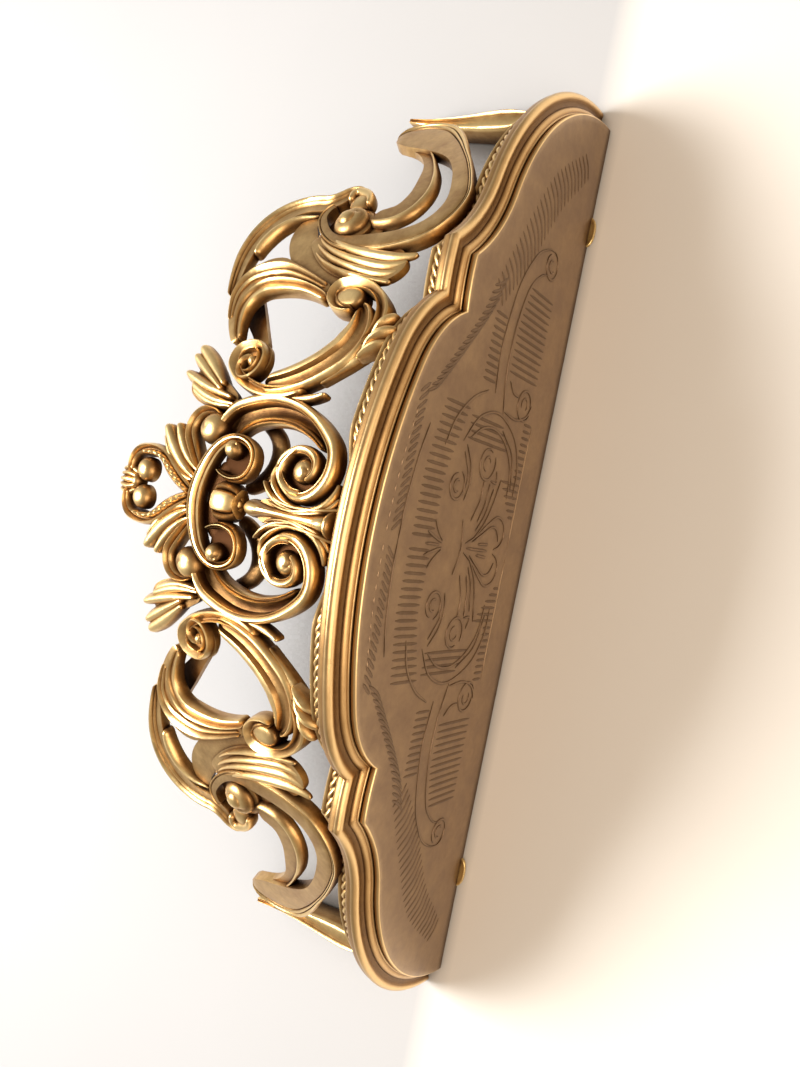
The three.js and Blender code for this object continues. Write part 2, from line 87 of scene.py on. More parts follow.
# ------------------------------------------------------------------ mesh store
class Store:
    """Collects vertices, faces and a value per vertex (0 recess .. 1 edge) for one visual piece, which sets its gilt
    colour: real rubbing of the raised gilt, plus painted shade in recesses and painted highlight on edges.
    """

    def __init__(self):
        self.v, self.f, self.w, self.n = [], [], [], 0

    def add(self, v, f, w=None):
        v = np.asarray(v, float)
        self.v.append(v)
        self.w.append(np.full(len(v), 0.5) if w is None else np.asarray(w, float))
        self.f += [tuple(int(i) + self.n for i in q) for q in f]
        self.n += len(v)

    def make(self, name, sharp=38):
        me = bpy.data.meshes.new(name)
        me.from_pydata((np.concatenate(self.v) * MM).tolist(), [], self.f)
        # the per-vertex value carries painted shade and painted highlight as well as rubbing
        at = me.attributes.new("wear_and_shade", "FLOAT", "POINT")
        at.data.foreach_set("value", np.concatenate(self.w).astype(np.float32))
        me.polygons.foreach_set("use_smooth", np.ones(len(me.polygons), bool))
        me.set_sharp_from_angle(angle=sharp * DEG)
        me.update()
        me.validate()
        o = bpy.data.objects.new(name, me)
        bpy.context.scene.collection.objects.link(o)
        return o


# ------------------------------------------------------------------ strokes
def smooth_values(vals, t):
    """Values given at equal steps, read at t in 0..1 through a smooth curve that doesn't overshoot much."""
    vals = np.asarray(vals, float)
    if len(vals) == 1:
        return np.full_like(t, vals[0])
    x = np.linspace(0, 1, len(vals))
    m = np.gradient(vals, x)
    i = np.clip((t * (len(vals) - 1)).astype(int), 0, len(vals) - 2)
    h = x[1] - x[0]
    s = (t - x[i]) / h
    a, b = vals[i], vals[i + 1]
    return (2 * s**3 - 3 * s**2 + 1) * a + (s**3 - 2 * s**2 + s) * h * m[i] + (-2 * s**3 + 3 * s**2) * b + (s**3 - s**2) * h * m[i + 1]


def walk(at, dir, arcs, step=1.2):
    """Points, headings and running length along a chain of arcs (length, turn in degrees)."""
    x, y = at
    a = dir * DEG
    P, A, S = [(x, y)], [a], [0.0]
    for length, turn in arcs:
        n = max(2, int(math.ceil(max(length / step, abs(turn) / 10.0))))
        d, l = turn * DEG / n, length / n
        for _ in range(n):
            c = l if abs(d) < 1e-9 else l * math.sin(d / 2) / (d / 2)
            x += c * math.cos(a + d / 2)
            y += c * math.sin(a + d / 2)
            a += d
            P.append((x, y))
            A.append(a)
            S.append(S[-1] + l)
    return np.array(P), np.array(A), np.array(S)


# Sections: (k, z) across the stroke; k = 1 is its outer edge, z = 1 its full relief.
PROFILE = {
    "roll": [(-1, 0.0), (-0.92, 0.38), (-0.75, 0.68), (-0.5, 0.88), (-0.2, 0.98), (0.1, 1.0), (0.4, 0.92), (0.66, 0.75), (0.86, 0.48), (1, 0.05)],
    "ribbon": [(-1, 0.25), (-0.95, 0.42), (-0.8, 0.42), (-0.5, 0.34), (-0.15, 0.31), (0.1, 0.36), (0.2, 0.42), (0.25, 0.4), (0.29, 0.2), (0.33, 0.42), (0.4, 0.72), (0.5, 0.92), (0.62, 1.0), (0.75, 0.96), (0.87, 0.76), (0.96, 0.42), (1, 0.1)],
    "bevel": [(-1, 0.3), (-0.95, 0.46), (-0.6, 0.5), (0.0, 0.46), (0.3, 0.45), (0.38, 0.42), (0.43, 0.62), (0.5, 0.92), (0.58, 1.0), (0.68, 0.96), (0.84, 0.6), (1, 0.0)],
    "thin_ribbon": [(-1, 0.2), (-0.94, 0.42), (-0.6, 0.42), (-0.3, 0.38), (-0.16, 0.42), (-0.1, 0.16), (-0.02, 0.5), (0.1, 0.72), (0.24, 0.66), (0.34, 0.3), (0.42, 0.62), (0.58, 0.95), (0.74, 1.0), (0.9, 0.7), (1, 0.1)],
    "triple": [(-1, 0.1), (-0.96, 0.6), (-0.86, 0.8), (-0.74, 0.76), (-0.66, 0.62), (-0.62, 0.26), (-0.57, 0.56), (-0.4, 0.68), (0.0, 0.74), (0.2, 0.7), (0.26, 0.34), (0.31, 0.7), (0.48, 0.92), (0.68, 1.0), (0.87, 0.86), (0.97, 0.5), (1, 0.1)],
    "channel": [(-1, 0.25), (-0.93, 0.6), (-0.85, 0.66), (-0.76, 0.55), (-0.68, 0.34), (-0.5, 0.2), (-0.2, 0.12), (0.1, 0.2), (0.3, 0.38), (0.42, 0.62), (0.5, 0.9), (0.6, 1.0), (0.7, 0.95), (0.84, 0.66), (1, 0.0)],
    "cscroll": [(-1, 0.05), (-0.93, 0.5), (-0.84, 0.78), (-0.74, 0.76), (-0.64, 0.66), (-0.45, 0.8), (-0.15, 0.96), (0.15, 1.0), (0.45, 0.9), (0.72, 0.66), (0.9, 0.36), (1, 0.0)],
    "hollow": [(-1, 0.9), (-0.85, 0.8), (-0.7, 0.55), (-0.4, 0.2), (0.0, 0.0), (0.4, 0.1), (0.75, 0.45), (1, 0.8)],
    "double": [(-1, 0.2), (-0.85, 0.75), (-0.6, 0.95), (-0.35, 0.8), (-0.15, 0.4), (0.02, 0.4), (0.2, 0.75), (0.45, 1.0), (0.75, 0.8), (1, 0.2)],
    "three": [(-1, 0.1), (-0.85, 0.62), (-0.66, 0.74), (-0.46, 0.6), (-0.38, 0.42), (-0.28, 0.7), (-0.1, 0.96), (0.12, 0.98), (0.3, 0.72), (0.38, 0.44), (0.48, 0.66), (0.68, 0.78), (0.86, 0.62), (1, 0.1)],
    "sband": [(-1, 0.3), (-0.93, 0.6), (-0.82, 0.7), (-0.62, 0.72), (-0.5, 0.66), (-0.44, 0.8), (-0.38, 0.6), (-0.3, 0.32), (-0.12, 0.2), (0.12, 0.22), (0.34, 0.38), (0.44, 0.5), (0.475, 0.28), (0.52, 0.6), (0.6, 0.92), (0.7, 1.0), (0.82, 0.9), (0.93, 0.55), (1, 0.1)],
    "lip": [(-1, 0.15), (-0.92, 0.7), (-0.78, 0.92), (-0.6, 0.8), (-0.48, 0.5), (-0.3, 0.5), (0.0, 0.66), (0.3, 0.86), (0.55, 1.0), (0.78, 0.9), (0.92, 0.55), (1, 0.05)],
    "web": [(-1, 0.9), (-0.5, 1.0), (0.0, 1.0), (0.5, 1.0), (1, 0.9)],
    "endband": [(-1, 0.5), (-0.97, 0.8), (-0.6, 0.86), (0.0, 0.88), (0.36, 0.86), (0.43, 0.8), (0.46, 0.56), (0.5, 0.84), (0.58, 0.94), (0.63, 0.9), (0.66, 0.7), (0.7, 0.94), (0.79, 1.0), (0.9, 0.75), (1, 0.1)],
    "bud": [(-1, 0.0), (-0.94, 0.3), (-0.8, 0.58), (-0.66, 0.7), (-0.58, 0.62), (-0.53, 0.36), (-0.47, 0.66), (-0.4, 0.9), (-0.2, 1.0), (0.2, 1.0), (0.4, 0.9), (0.47, 0.66), (0.53, 0.36), (0.58, 0.62), (0.66, 0.7), (0.8, 0.58), (0.94, 0.3), (1, 0.0)],
    "flute": [(-1, 0.0), (-0.8, 0.5), (-0.5, 0.86), (-0.15, 1.0), (0.2, 0.97), (0.55, 0.75), (0.85, 0.4), (1, 0.0)],
}


# value for each height of a section, where it isn't the height itself: the top ridge bright (rubbing plus painted
# highlight), the lower faces dark (painted shade)
RUBBED_AND_SHADED = {"endband": lambda z: 1.0 if z > 0.92 else 0.22, "bevel": lambda z: 0.95 if z > 0.8 else 0.2}


def sweep(store, P, A, w, profile, relief, depth=6.0, lift=0.0, outer=1, caps=(1, 1), nlift=None, wall=True, mirror=True, space=surface, tone=None):
    """Sweeps a section along a centre line in (u, h, n) space and bends it onto the apron.
    P, A: points and headings; w: widths; relief: height of the front face above lift; caps: how round each end is (0 flat)."""
    P, A, w = np.asarray(P), np.asarray(A), np.asarray(w, float)
    d = np.hypot(*np.diff(P, axis=0).T)
    s = np.concatenate([[0], np.cumsum(d)])
    # rounded ends: extra stations close to each end
    if caps[0] or caps[1]:
        extra = []
        r0, r1 = w[0] * 0.5 * caps[0], w[-1] * 0.5 * caps[1]
        if r0 > 0.2:
            extra += [r0 * q for q in (0.04, 0.14, 0.32, 0.6)]
        if r1 > 0.2:
            extra += [s[-1] - r1 * q for q in (0.04, 0.14, 0.32, 0.6)]
        t = np.unique(np.round(np.concatenate([s, [e for e in extra if 0 < e < s[-1]]]), 5))
        P = np.stack([np.interp(t, s, P[:, 0]), np.interp(t, s, P[:, 1])], 1)
        A = np.interp(t, s, A)
        w = np.interp(t, s, w)
        if nlift is not None:
            nlift = np.interp(t, s, nlift)
        if not np.isscalar(relief):
            relief = np.interp(t, s, relief)
        s = t
    scale = np.ones(len(s))
    if caps[0] and w[0] * 0.5 * caps[0] > 0.2:
        r = w[0] * 0.5 * caps[0]
        q = np.clip(s / r, 0, 1)
        scale = np.minimum(scale, np.sqrt(np.maximum(1 - (1 - q) ** 2, 0.0)))
    if caps[1] and w[-1] * 0.5 * caps[1] > 0.2:
        r = w[-1] * 0.5 * caps[1]
        q = np.clip((s[-1] - s) / r, 0, 1)
        scale = np.minimum(scale, np.sqrt(np.maximum(1 - (1 - q) ** 2, 0.0)))
    c = np.zeros(len(s))
    dA = np.diff(A)
    ds = np.maximum(np.diff(s), 1e-6)
    k = dA / ds
    c[:-1] = k
    c[1:] = np.where(np.abs(k) > np.abs(c[1:]), k, c[1:])
    half = w * 0.5
    room = 0.88 / np.maximum(np.abs(c), 1e-6)
    wl = np.where(c > 0, np.minimum(half, room), half)  # side of +normal
    wr = np.where(c < 0, np.minimum(half, room), half)
    for a in (wl, wr):  # ease the held-in width along the line
        for _ in range(3):
            a[1:-1] = np.minimum(a[1:-1], 0.25 * a[:-2] + 0.5 * a[1:-1] + 0.25 * a[2:] + 0.02)
    wl, wr = wl * np.maximum(scale, 0.02), wr * np.maximum(scale, 0.02)
    prof = PROFILE[profile] if isinstance(profile, str) else profile
    kk = np.array([p[0] for p in prof]) * outer
    zz = np.array([p[1] for p in prof])
    if outer < 0:
        kk, zz = kk[::-1], zz[::-1]
    nx, ny = -np.sin(A), np.cos(A)
    rel = np.broadcast_to(np.asarray(relief, float), s.shape)
    zs = scale**0.6
    nl = np.zeros(len(s)) if nlift is None else nlift
    rows, wear_and_shade = [], []
    front = len(kk)
    for j in range(front):
        off = np.where(kk[j] > 0, kk[j] * wl, kk[j] * wr)
        z = lift + nl + rel * zz[j] * zs
        rows.append(np.stack([P[:, 0] + nx * off, P[:, 1] + ny * off, z], 1))
        wear_and_shade.append(np.full(len(s), RUBBED_AND_SHADED[profile](zz[j]) if profile in RUBBED_AND_SHADED else zz[j]))
    # the stroke's side walls get a low colour value: painted shade
    if wall:
        back = lift + nl - depth
        for kk2, dz in ((1.0, 0.9), (0.9, 0.0), (-0.9, 0.0), (-1.0, 0.9)):
            off = np.where(kk2 > 0, kk2 * wl, kk2 * wr)
            rows.append(np.stack([P[:, 0] + nx * off, P[:, 1] + ny * off, back + dz], 1))
            wear_and_shade.append(np.full(len(s), 0.15))
    R = np.stack(rows, 1)  # stations x ring x 3
    W = np.stack(wear_and_shade, 1)
    n, m = R.shape[:2]
    faces = []
    idx = np.arange(n * m).reshape(n, m)
    rng = m if wall else m - 1
    for j in range(rng):
        a, b = idx[:-1, j], idx[:-1, (j + 1) % m]
        e, g = idx[1:, j], idx[1:, (j + 1) % m]
        faces += list(zip(a.tolist(), b.tolist(), g.tolist(), e.tolist()))
    if wall:
        faces.append(tuple(idx[0, ::-1].tolist()))
        faces.append(tuple(idx[-1, :].tolist()))
    V = R.reshape(-1, 3)
    W = W.reshape(-1)
    # a given value squeezes and shifts the colour value, and webs get a low one by default: painted shade on webs and
    # parts set back
    if tone is None and profile == "web":
        tone = 0.05
    if tone is not None:
        W = W * 0.3 + tone
    for sg in (1, -1) if mirror else (1,):
        Q = space(V[:, 0] * sg, V[:, 1], V[:, 2])
        F = faces if sg < 0 else [f[::-1] for f in faces]
        store.add(Q, F, W)


def run(store, at, dir, arcs, w, profile="roll", relief=3.0, step=1.75, **kw):
    P, A, s = walk(at, dir, arcs, step)
    W = np.maximum(smooth_values(w, s / s[-1]), 0.3)
    if isinstance(relief, list):
        relief = np.maximum(smooth_values(relief, s / s[-1]), 0.2)
    sweep(store, P, A, W, profile, relief, **kw)
    return P, A, s, W


def leaf(store, at, dir, arcs, w, flutes=4, relief=3.0, spread=1.0, fall=1.5, depth=5.0, lift=0.0, base=True, tips=None, curl=0.0, mirror=True, ripple=0.0, space=surface):
    """A fluted leaf: side-by-side rounded flutes that part towards the end, over a thin body."""
    P, A, s = walk(at, dir, arcs, 1.8)
    W = np.maximum(smooth_values(w, s / s[-1]), 0.6)
    if base:
        sweep(store, P, A, W * 0.92, "web", 0.9, depth=depth, lift=lift, caps=(0.6, 1), mirror=mirror, space=space)
    t = s / s[-1]
    for i in range(flutes):
        k = (i + 0.5) / flutes * 2 - 1
        end = 1.0 if tips is None else tips[i]
        keep = t <= end + 1e-9
        if keep.sum() < 4:
            continue
        off = k * W * 0.5 * spread + curl * k * np.maximum(t - 0.75, 0) ** 2 * 60
        nx, ny = -np.sin(A), np.cos(A)
        Q = np.stack([P[:, 0] + nx * off, P[:, 1] + ny * off], 1)[keep]
        tt = t[keep] / end
        ww = (W / flutes * 1.28)[keep] * np.clip(1.15 - 0.35 * tt**5, 0.3, 2)
        d = np.diff(Q, axis=0)
        B = np.unwrap(np.arctan2(d[:, 1], d[:, 0]))
        B = np.concatenate([[B[0]], 0.5 * (B[1:] + B[:-1]), [B[-1]]])
        h = relief * (1 - 0.25 * abs(k)) * (0.75 + 0.25 * np.sin(np.pi * np.clip(tt, 0, 1)))
        sweep(store, Q, B, ww, "flute", h, depth=depth, lift=lift + 0.2 - 0.5 * k * k, caps=(0.8, 1.3), mirror=mirror, space=space)


def dome(store, at, r, relief, depth=2.0, lift=0.0, power=2.0, rings=9, sides=32, swirl=0.0, mirror=True, flat=0.0, turn=0.0, flutes=0, space=surface, tone=None):
    """A rounded boss. swirl presses a spiral groove into it, flutes cut it like a bud."""
    rx, ry = r if isinstance(r, (tuple, list)) else (r, r)
    V, W = [], []
    qs = np.sin(np.linspace(0, 1, rings) * math.pi / 2)
    th = np.linspace(0, 2 * math.pi, sides, endpoint=False)
    for q in qs:
        z = relief * (1 - q**power) ** (1 / power) if q < 1 else 0.0
        g = np.zeros(sides)
        if swirl:
            ph = th + turn + swirl * q * 2 * math.pi
            g = -0.22 * relief * np.exp(-(((np.mod(ph, 2 * math.pi) - math.pi) / 0.5) ** 2)) * np.clip(q * 1.6, 0, 1) * (1 - q**4)
        if flutes:
            g = -0.2 * relief * (0.5 + 0.5 * np.cos(th * flutes + turn)) * q
        V.append(np.stack([at[0] + rx * q * np.cos(th), at[1] + ry * q * np.sin(th), lift + z + g], 1))
        # brightest at the crown (rubbing plus painted highlight), darker towards the rim and in the swirl and flute
        # grooves (painted shade)
        W.append(np.full(sides, 1 - 0.8 * q) + g / max(relief, 1e-6) * 3)
    V.append(np.stack([at[0] + rx * np.cos(th), at[1] + ry * np.sin(th), np.full(sides, lift - depth)], 1))
    W.append(np.full(sides, 0.1))
    V, W = np.concatenate(V), np.concatenate(W)
    # a given value squeezes and shifts the colour value: painted shade on discs set behind other parts
    if tone is not None:
        W = W * 0.3 + tone
    n = rings + 1
    idx = np.arange(n * sides).reshape(n, sides)
    faces = []
    for i in range(n - 1):
        for j in range(sides):
            a, b = idx[i, j], idx[i, (j + 1) % sides]
            c, d = idx[i + 1, (j + 1) % sides], idx[i + 1, j]
            if i == 0:
                continue
            faces.append((a, d, c, b))
    faces.append(tuple(idx[1, :].tolist()))
    faces.append(tuple(idx[-1, ::-1].tolist()))
    V = V
    for sg in (1, -1) if mirror else (1,):
        Q = space(V[:, 0] * sg, V[:, 1], V[:, 2])
        F = [f[::-1] for f in faces] if sg > 0 else faces
        store.add(Q, F, W)


# ------------------------------------------------------------------ the apron
apron = Store()
S = apron

# end scroll: crescent horn, broad ribbon over the top and down round the ball
run(S, (213.6, 92.6), -73.9, [(31.1, -52.5), (65.9, -33.2), (32.4, -90.8), (17.1, -15.7), (16.2, -7.7), (32.6, -55.8), (11.7, -83.1)], [13, 25, 25, 17.5, 11.0, 9.8, 11, 12.8, 12.6, 11.4, 11, 9.6, 5.8, 5.2, 3.4], "endband", 3.4, depth=3.2, caps=(0.9, 1))
run(S, (212.6, 86.6), -116.5, [(24.5, -18.5), (38.6, -32.4), (12.3, -32.1), (11.0, -55.4), (11.3, -20.8)], [9, 9, 7, 6.4, 7.4, 10.8, 13.4, 14.8, 13.2, 9.6], "bevel", [2.0, 2.6, 2.8, 2.6, 2.6], depth=3.0, lift=-0.4, caps=(0.8, 1))
run(S, (136.2, 58.9), 78.6, [(27, -4.4)], [16.9, 21, 21.9, 21.1], "web", 0.8, depth=3.2, lift=-2)
run(S, (149.4, 104.2), 142.5, [(14.2, 64.4), (47.0, 46.3)], [10, 16, 15, 14, 12], "web", 0.8, depth=2.8, lift=-0.8)
run(S, (108.4, 61.5), 89.8, [(26.7, -31.2)], [6.3, 8.7, 9.9, 10.6], "web", 0.8, depth=2.8, lift=-0.8)
dome(S, (141.0, 79.0), (12.6, 14.4), 0.8, lift=-1.0, tone=-0.1)
dome(S, (140.6, 76.6), (10.6, 11.4), 2.0, lift=0.2, tone=0.1)
dome(S, (156.6, 80.0), (6.4, 6.8), 2.6, lift=0.4)
dome(S, (140.6, 76.4), (8.4, 9.2), 4.6, lift=1.4, swirl=0.75, turn=1.0, power=2.6)
dome(S, (140.4, 77.4), (4.4, 4.8), 3.0, lift=4.6)
# fan of flutes on the inner flank of the end scroll
run(S, (115.2, 32.5), 96, [(12, -6), (55, -40)], [13, 20, 19, 17, 12.5, 6.0], "web", 0.8, depth=3.2, lift=0.2)
run(S, (120.6, 29.0), 109.5, [(12.0, -20.3), (60.2, -41.7)], [3.0, 6.2, 6.2, 5.0, 3.4, 1.4], "flute", [0.8, 3.2, 4.2, 3.8, 2.2, 0.4], depth=1.0, caps=(1.3, 1))
run(S, (116.7, 32.7), 118.1, [(14.7, -33.8), (53.5, -37.4)], [3.0, 5.8, 5.6, 4.6, 3.2, 1.4], "flute", [0.8, 3.2, 4.2, 3.8, 2.2, 0.4], depth=1.0, caps=(1.3, 1))
run(S, (111.4, 34.7), 111.1, [(13.7, -28.5), (52.0, -36.3)], [2.8, 5.2, 4.9, 4.0, 2.8, 1.3], "flute", [0.8, 3.2, 4.2, 3.8, 2.2, 0.4], depth=1.0, caps=(1.3, 1))
run(S, (105.8, 36.5), 92.7, [(60.7, -45.4)], [2.6, 4.4, 4.2, 3.4, 2.4, 1.0], "flute", [0.8, 3.2, 4.2, 3.8, 2.2, 0.4], depth=1.0, caps=(1.3, 1))
# lower ribbon with its curled knob
run(S, (161, 81), 38, [(13.4, 98.1), (14.2, -54.8), (40.7, 86.7), (19.1, 23.5), (20.4, 9.8)], [4.5, 9.6, 11.7, 15.1, 12.7, 8.4, 4.1], "thin_ribbon", 3.4, depth=3.6, outer=-1)
run(S, (149.4, 103.5), 102.2, [(4.7, -7.4), (36.7, 87.1)], [1.2, 3.4, 4.8, 6.0, 4.6], "flute", [0.8, 2.6, 3.4, 3.6, 3.0], depth=3.2, outer=-1)
run(S, (156.7, 87.0), 6.2, [(4.0, 4.0), (4.4, -106.6), (10.9, -46.9), (6.2, -32.2)], [3.4, 6.8, 6.6, 4.6, 3.0], "roll", 3.8, depth=2.8)
# double band, from the shoulder of the end scroll down and round to the volute
run(S, (99.3, 67.9), 67.3, [(40.8, 15.0), (24.3, 103.5), (24.7, 33.7)], [7.5, 9.0, 11.3, 15.0, 20.5, 22.2, 17.8, 11.4, 7.3, 4.0], "web", 1.6, depth=3.2)
run(S, (96.0, 67.0), 64.1, [(39.2, 30.3), (22.4, 97.8), (13.8, 19.5)], [4.2, 5.0, 6.2, 7.6, 9.0, 9.6, 8.2, 5.9, 3.9], "lip", [3.0, 3.6, 3.6, 3.2, 2.2], depth=3.2, lift=0.3, outer=1)
run(S, (102.5, 70.2), 65.4, [(25.7, 6.4), (24.4, 33.5), (20.6, 87.4), (12.8, 14.9)], [3.6, 4.8, 6.0, 8.0, 10.4, 11.2, 8.8, 5.7, 3.6], "double", [2.6, 3.2, 3.2, 2.8, 2.0], depth=3.2, lift=0.2, outer=-1)
run(S, (105.7, 124.1), -162.1, [(16.5, 24.5), (24.2, -3.0)], [9.1, 11.5, 8.8, 6.2], "web", 0.8, depth=2.8, lift=-7, tone=-0.1)

# S scroll: channelled band between the hooked eye and the snail volute, with a leaf on its shoulder
run(S, (91.6, 43.4), -138.4, [(25.0, -88.1), (41.6, -39.5)], [6.5, 13.7, 18.6, 18.2, 16.7, 15.7, 14.3, 12.4, 9.3], "sband", 4.4, depth=3.2)
run(S, (72.8, 33.8), -49.9, [(20.8, 84.6), (30.8, 68.8), (8.9, 111.9), (15.3, 66.6)], [2.5, 6.4, 7.7, 5.9, 5.0, 5.3, 6.7, 8.0, 6.2, 4.5, 3.6], "lip", 5.0, depth=3.2, outer=-1)
dome(S, (95.6, 52.0), (5.6, 8.0), 3.4, lift=1.2, power=3.2)
dome(S, (95.4, 51.4), (7.5, 8.0), 0.8, lift=-1.6)
run(S, (80.2, 25.2), 139.6, [(35.2, -11.5)], [10.6, 10.5, 8.7, 6.1, 3.8], "roll", [0.6, 1.8, 2.6, 2.4, 1.6], depth=3.2, lift=0.4, caps=(1, 1))
run(S, (85.6, 19.5), 123.5, [(15.0, 31.8)], [4.0, 6.6, 5.4, 2.6], "flute", [3.0, 5.4, 5.0, 2.4], depth=3.0, lift=2.4, caps=(0.9, 1.2))
run(S, (78.9, 16.2), 107.3, [(18.4, 31.1)], [4.4, 7.2, 5.6, 2.2], "flute", [3.4, 6.4, 5.8, 2.4], depth=3.0, lift=2.4, caps=(0.9, 1.2))
run(S, (73.3, 17.8), 107.4, [(16.6, 14.2)], [3.6, 5.6, 4.2, 1.8], "flute", [3.0, 5.4, 4.8, 2.2], depth=3.0, lift=2.4, caps=(0.9, 1.2))
dome(S, (64.0, 93.8), (8.6, 9.6), 0.8, lift=1.0)
run(S, (52.0, 56.1), 110.6, [(39.9, -45.9), (11.4, -24.0), (10.2, -105.9), (11.4, -40.0)], [5.0, 6.5, 6.3, 6.0, 6.2, 7.0, 8.2, 6.3, 4.6], "lip", 4.8, depth=3.2)
run(S, (70.4, 95.0), -92, [(23.4, -180), (13.5, -190), (5, -120)], [4.6, 5.2, 5.6, 5.2, 4.4, 3.8, 2.6], "lip", 5.0, depth=3, lift=0.2)
dome(S, (62.6, 93.2), (3.0, 3.4), 5.0, lift=0.4)
run(S, (50.9, 43.7), 109.4, [(26.4, -26.6)], [2.4, 4.3, 3.6, 3.2], "flute", 2.6, depth=2.4)

# C scroll
run(S, (8.7, 46.8), -114.9, [(40, 163.4), (61.1, 60.5), (20.2, 74.3)], [3.6, 6.5, 6, 4.6, 4.6, 6.1, 3.5], "cscroll", 4.2, depth=3.2, outer=-1)
run(S, (28.2, 35.2), 54.8, [(43, 50.2), (15.8, 50.7)], [2.4, 3.1, 3.5, 4.5, 3.4], "double", 2.8, depth=2.8, outer=-1)
run(S, (30.1, 34.1), 48.5, [(58.7, 70.1), (14.4, 74.6)], [3.8, 5.4, 5.4, 6.3, 8.1, 10.5, 5.4], "hollow", 1.5, depth=2.8, lift=-2, outer=-1)
run(S, (9.4, 39.6), 101.7, [(16.2, -63.7), (9.2, -81.8), (17.6, -82.9), (12.2, -129.7)], [3.3, 4.3, 5.4, 5.0, 4.4, 4.4, 3.2], "cscroll", 3.8, depth=2.8)
dome(S, (17.5, 43.0), (8.0, 9.0), 0.8, lift=-1.2, tone=-0.4)
dome(S, (18.3, 41.9), (5.2, 5.6), 4.2, lift=0.4, swirl=0.6, turn=2.5)
# fluted leaf hanging round the coil, and the palmette's side leaves
run(S, (17.5, 54.5), 170, [(12, -60)], [6, 8, 7, 5], "web", 0.8, depth=2.8, lift=-0.6)
run(S, (26.4, 47.2), 122.8, [(7.9, 23.7), (9.9, 81.5), (12.8, 31.8)], [1.8, 3.8, 3.9, 3.0, 1.8], "flute", 4.0, depth=2.8)
run(S, (19.6, 54.3), 125.9, [(11.0, 101.2), (18.3, 46.6)], [1.8, 3.7, 3.4, 2.4, 1.4], "flute", 4.2, depth=2.8, outer=-1)
run(S, (11.7, 61.4), -144.1, [(15.8, 42.8), (15.1, 19.2)], [1.4, 3.4, 2.9, 2.2, 1.3], "flute", 4.0, depth=2.8)
run(S, (15.9, 22.8), -167.2, [(14.3, -83.8), (31.3, -39.4)], [1.9, 4.4, 4.0, 3.2, 2.8, 2.4, 1.0], "flute", [0.6, 3.2, 4.8, 4.6, 3.8, 2.6, 1.0], depth=2.2, caps=(1.2, 1))
run(S, (10.4, 20.6), 164.1, [(11.1, -61.1), (18.9, -15.8)], [1.9, 3.6, 3.0, 2.4, 1.6], "flute", [0.8, 3.6, 5.0, 4.4, 2.6], depth=2.2, caps=(1.2, 1))
run(S, (0, 18.0), 90, [(46, 0)], [14, 12.5, 9.5, 8.0, 7.0, 7.5, 9.0, 9.5, 7.0], "web", 0.8, depth=2.4, lift=0.6, mirror=False, tone=0.0)
run(S, (0, 17.4), 90, [(53.6, 0)], [5.8, 8.2, 6.0, 5.0, 4.6, 4.2, 4.2, 4.8, 6.2, 8.0, 5.8], "flute", [3.4, 6.0, 6.4, 6.2, 6.0, 5.6, 5.6, 5.6, 5.8, 5.6, 3.6], depth=3.6, mirror=False, caps=(1, 1.4))
run(S, (6.2, 18.5), 106, [(14, -12), (16, -12), (15, -34)], [2.0, 3.2, 2.8, 2.6, 3.0, 3.4, 1.4], "flute", [1.2, 4.6, 5.4, 4.8, 4.2, 3.2, 1.0], depth=2.4, caps=(1.2, 1))
dome(S, (0, 20.0), (5.4, 3.0), 7.4, depth=3.0, mirror=False)

# bar with two rings and the bud above it
run(S, (12.2, 89.5), -120.8, [(16.0, 47.8), (16.9, 128.9), (27.3, 93.0), (19.9, 30.2)], [1.8, 2.8, 3.6, 4.2, 4.0, 4.4, 6.4, 8.4, 9.4, 9.6], "three", 3.6, depth=2.8, lift=3.4, outer=-1, caps=(1, 0))
# painted shade: the disc and web inside the rings are given a very dark colour value
dome(S, (19.2, 81.0), (9.4, 9.6), 0.6, lift=1.2, depth=2.4, tone=-1.1)
run(S, (0, 92.5), 0, [(17, -34)], [9, 8.6, 6], "web", 0.6, depth=2.4, lift=1.0, tone=-0.9)
dome(S, (21.9, 83.4), (4.4, 5.2), 5.4, lift=3.0, depth=3, swirl=0.6, turn=2.0)
run(S, (0, 71.8), 90, [(18.5, 0)], [9.0, 15.5, 17.6, 17.4, 15.0], "bud", [3.4, 6.4, 7.6, 7.4, 5.6], depth=3, lift=0.8, caps=(1.1, 0.5), mirror=False)
run(S, (-6.2, 73.6), 0, [(12.4, 0)], [1.0, 1.8, 1.0], "flute", [2.0, 6.6, 2.0], depth=1.0, lift=0.8, mirror=False)
run(S, (38.4, 82.6), -107.2, [(11.5, -21.2), (21.2, -94.5), (13.7, -35.4)], [5.8, 7.2, 8.8, 9.2, 7.8, 6.3], "roll", 1.6, depth=2.8, lift=-8, tone=0.0)

# leaves and tail
run(S, (43.5, 96), 80, [(38, -16)], [6, 13, 17, 13], "web", 0.8, depth=2.8)
run(S, (50.5, 107.1), 53.6, [(33.1, 3.8)], [3.4, 6.6, 8.2, 6.2], "flute", 3.6, depth=2.8, caps=(0.8, 1.2))
run(S, (47.9, 107.1), 61.9, [(33.0, -4.3)], [3.0, 5.6, 7.2, 5.4], "flute", 4.2, depth=2.8, caps=(0.8, 1.2))
run(S, (44.6, 98.0), 80.2, [(40.3, -11.2)], [3.0, 5.4, 7.0, 5.0], "flute", 4.4, depth=2.8, caps=(0.8, 1.2))
run(S, (41.7, 95.0), 90.1, [(36.1, -27.9)], [3.0, 5.0, 6.4, 4.6], "flute", 4.0, depth=2.8, caps=(0.8, 1.2))
run(S, (40.9, 97.1), 94.4, [(32.0, -33.2)], [2.4, 4.0, 5.0, 3.4], "flute", 3.2, depth=2.8, caps=(0.8, 1.2))
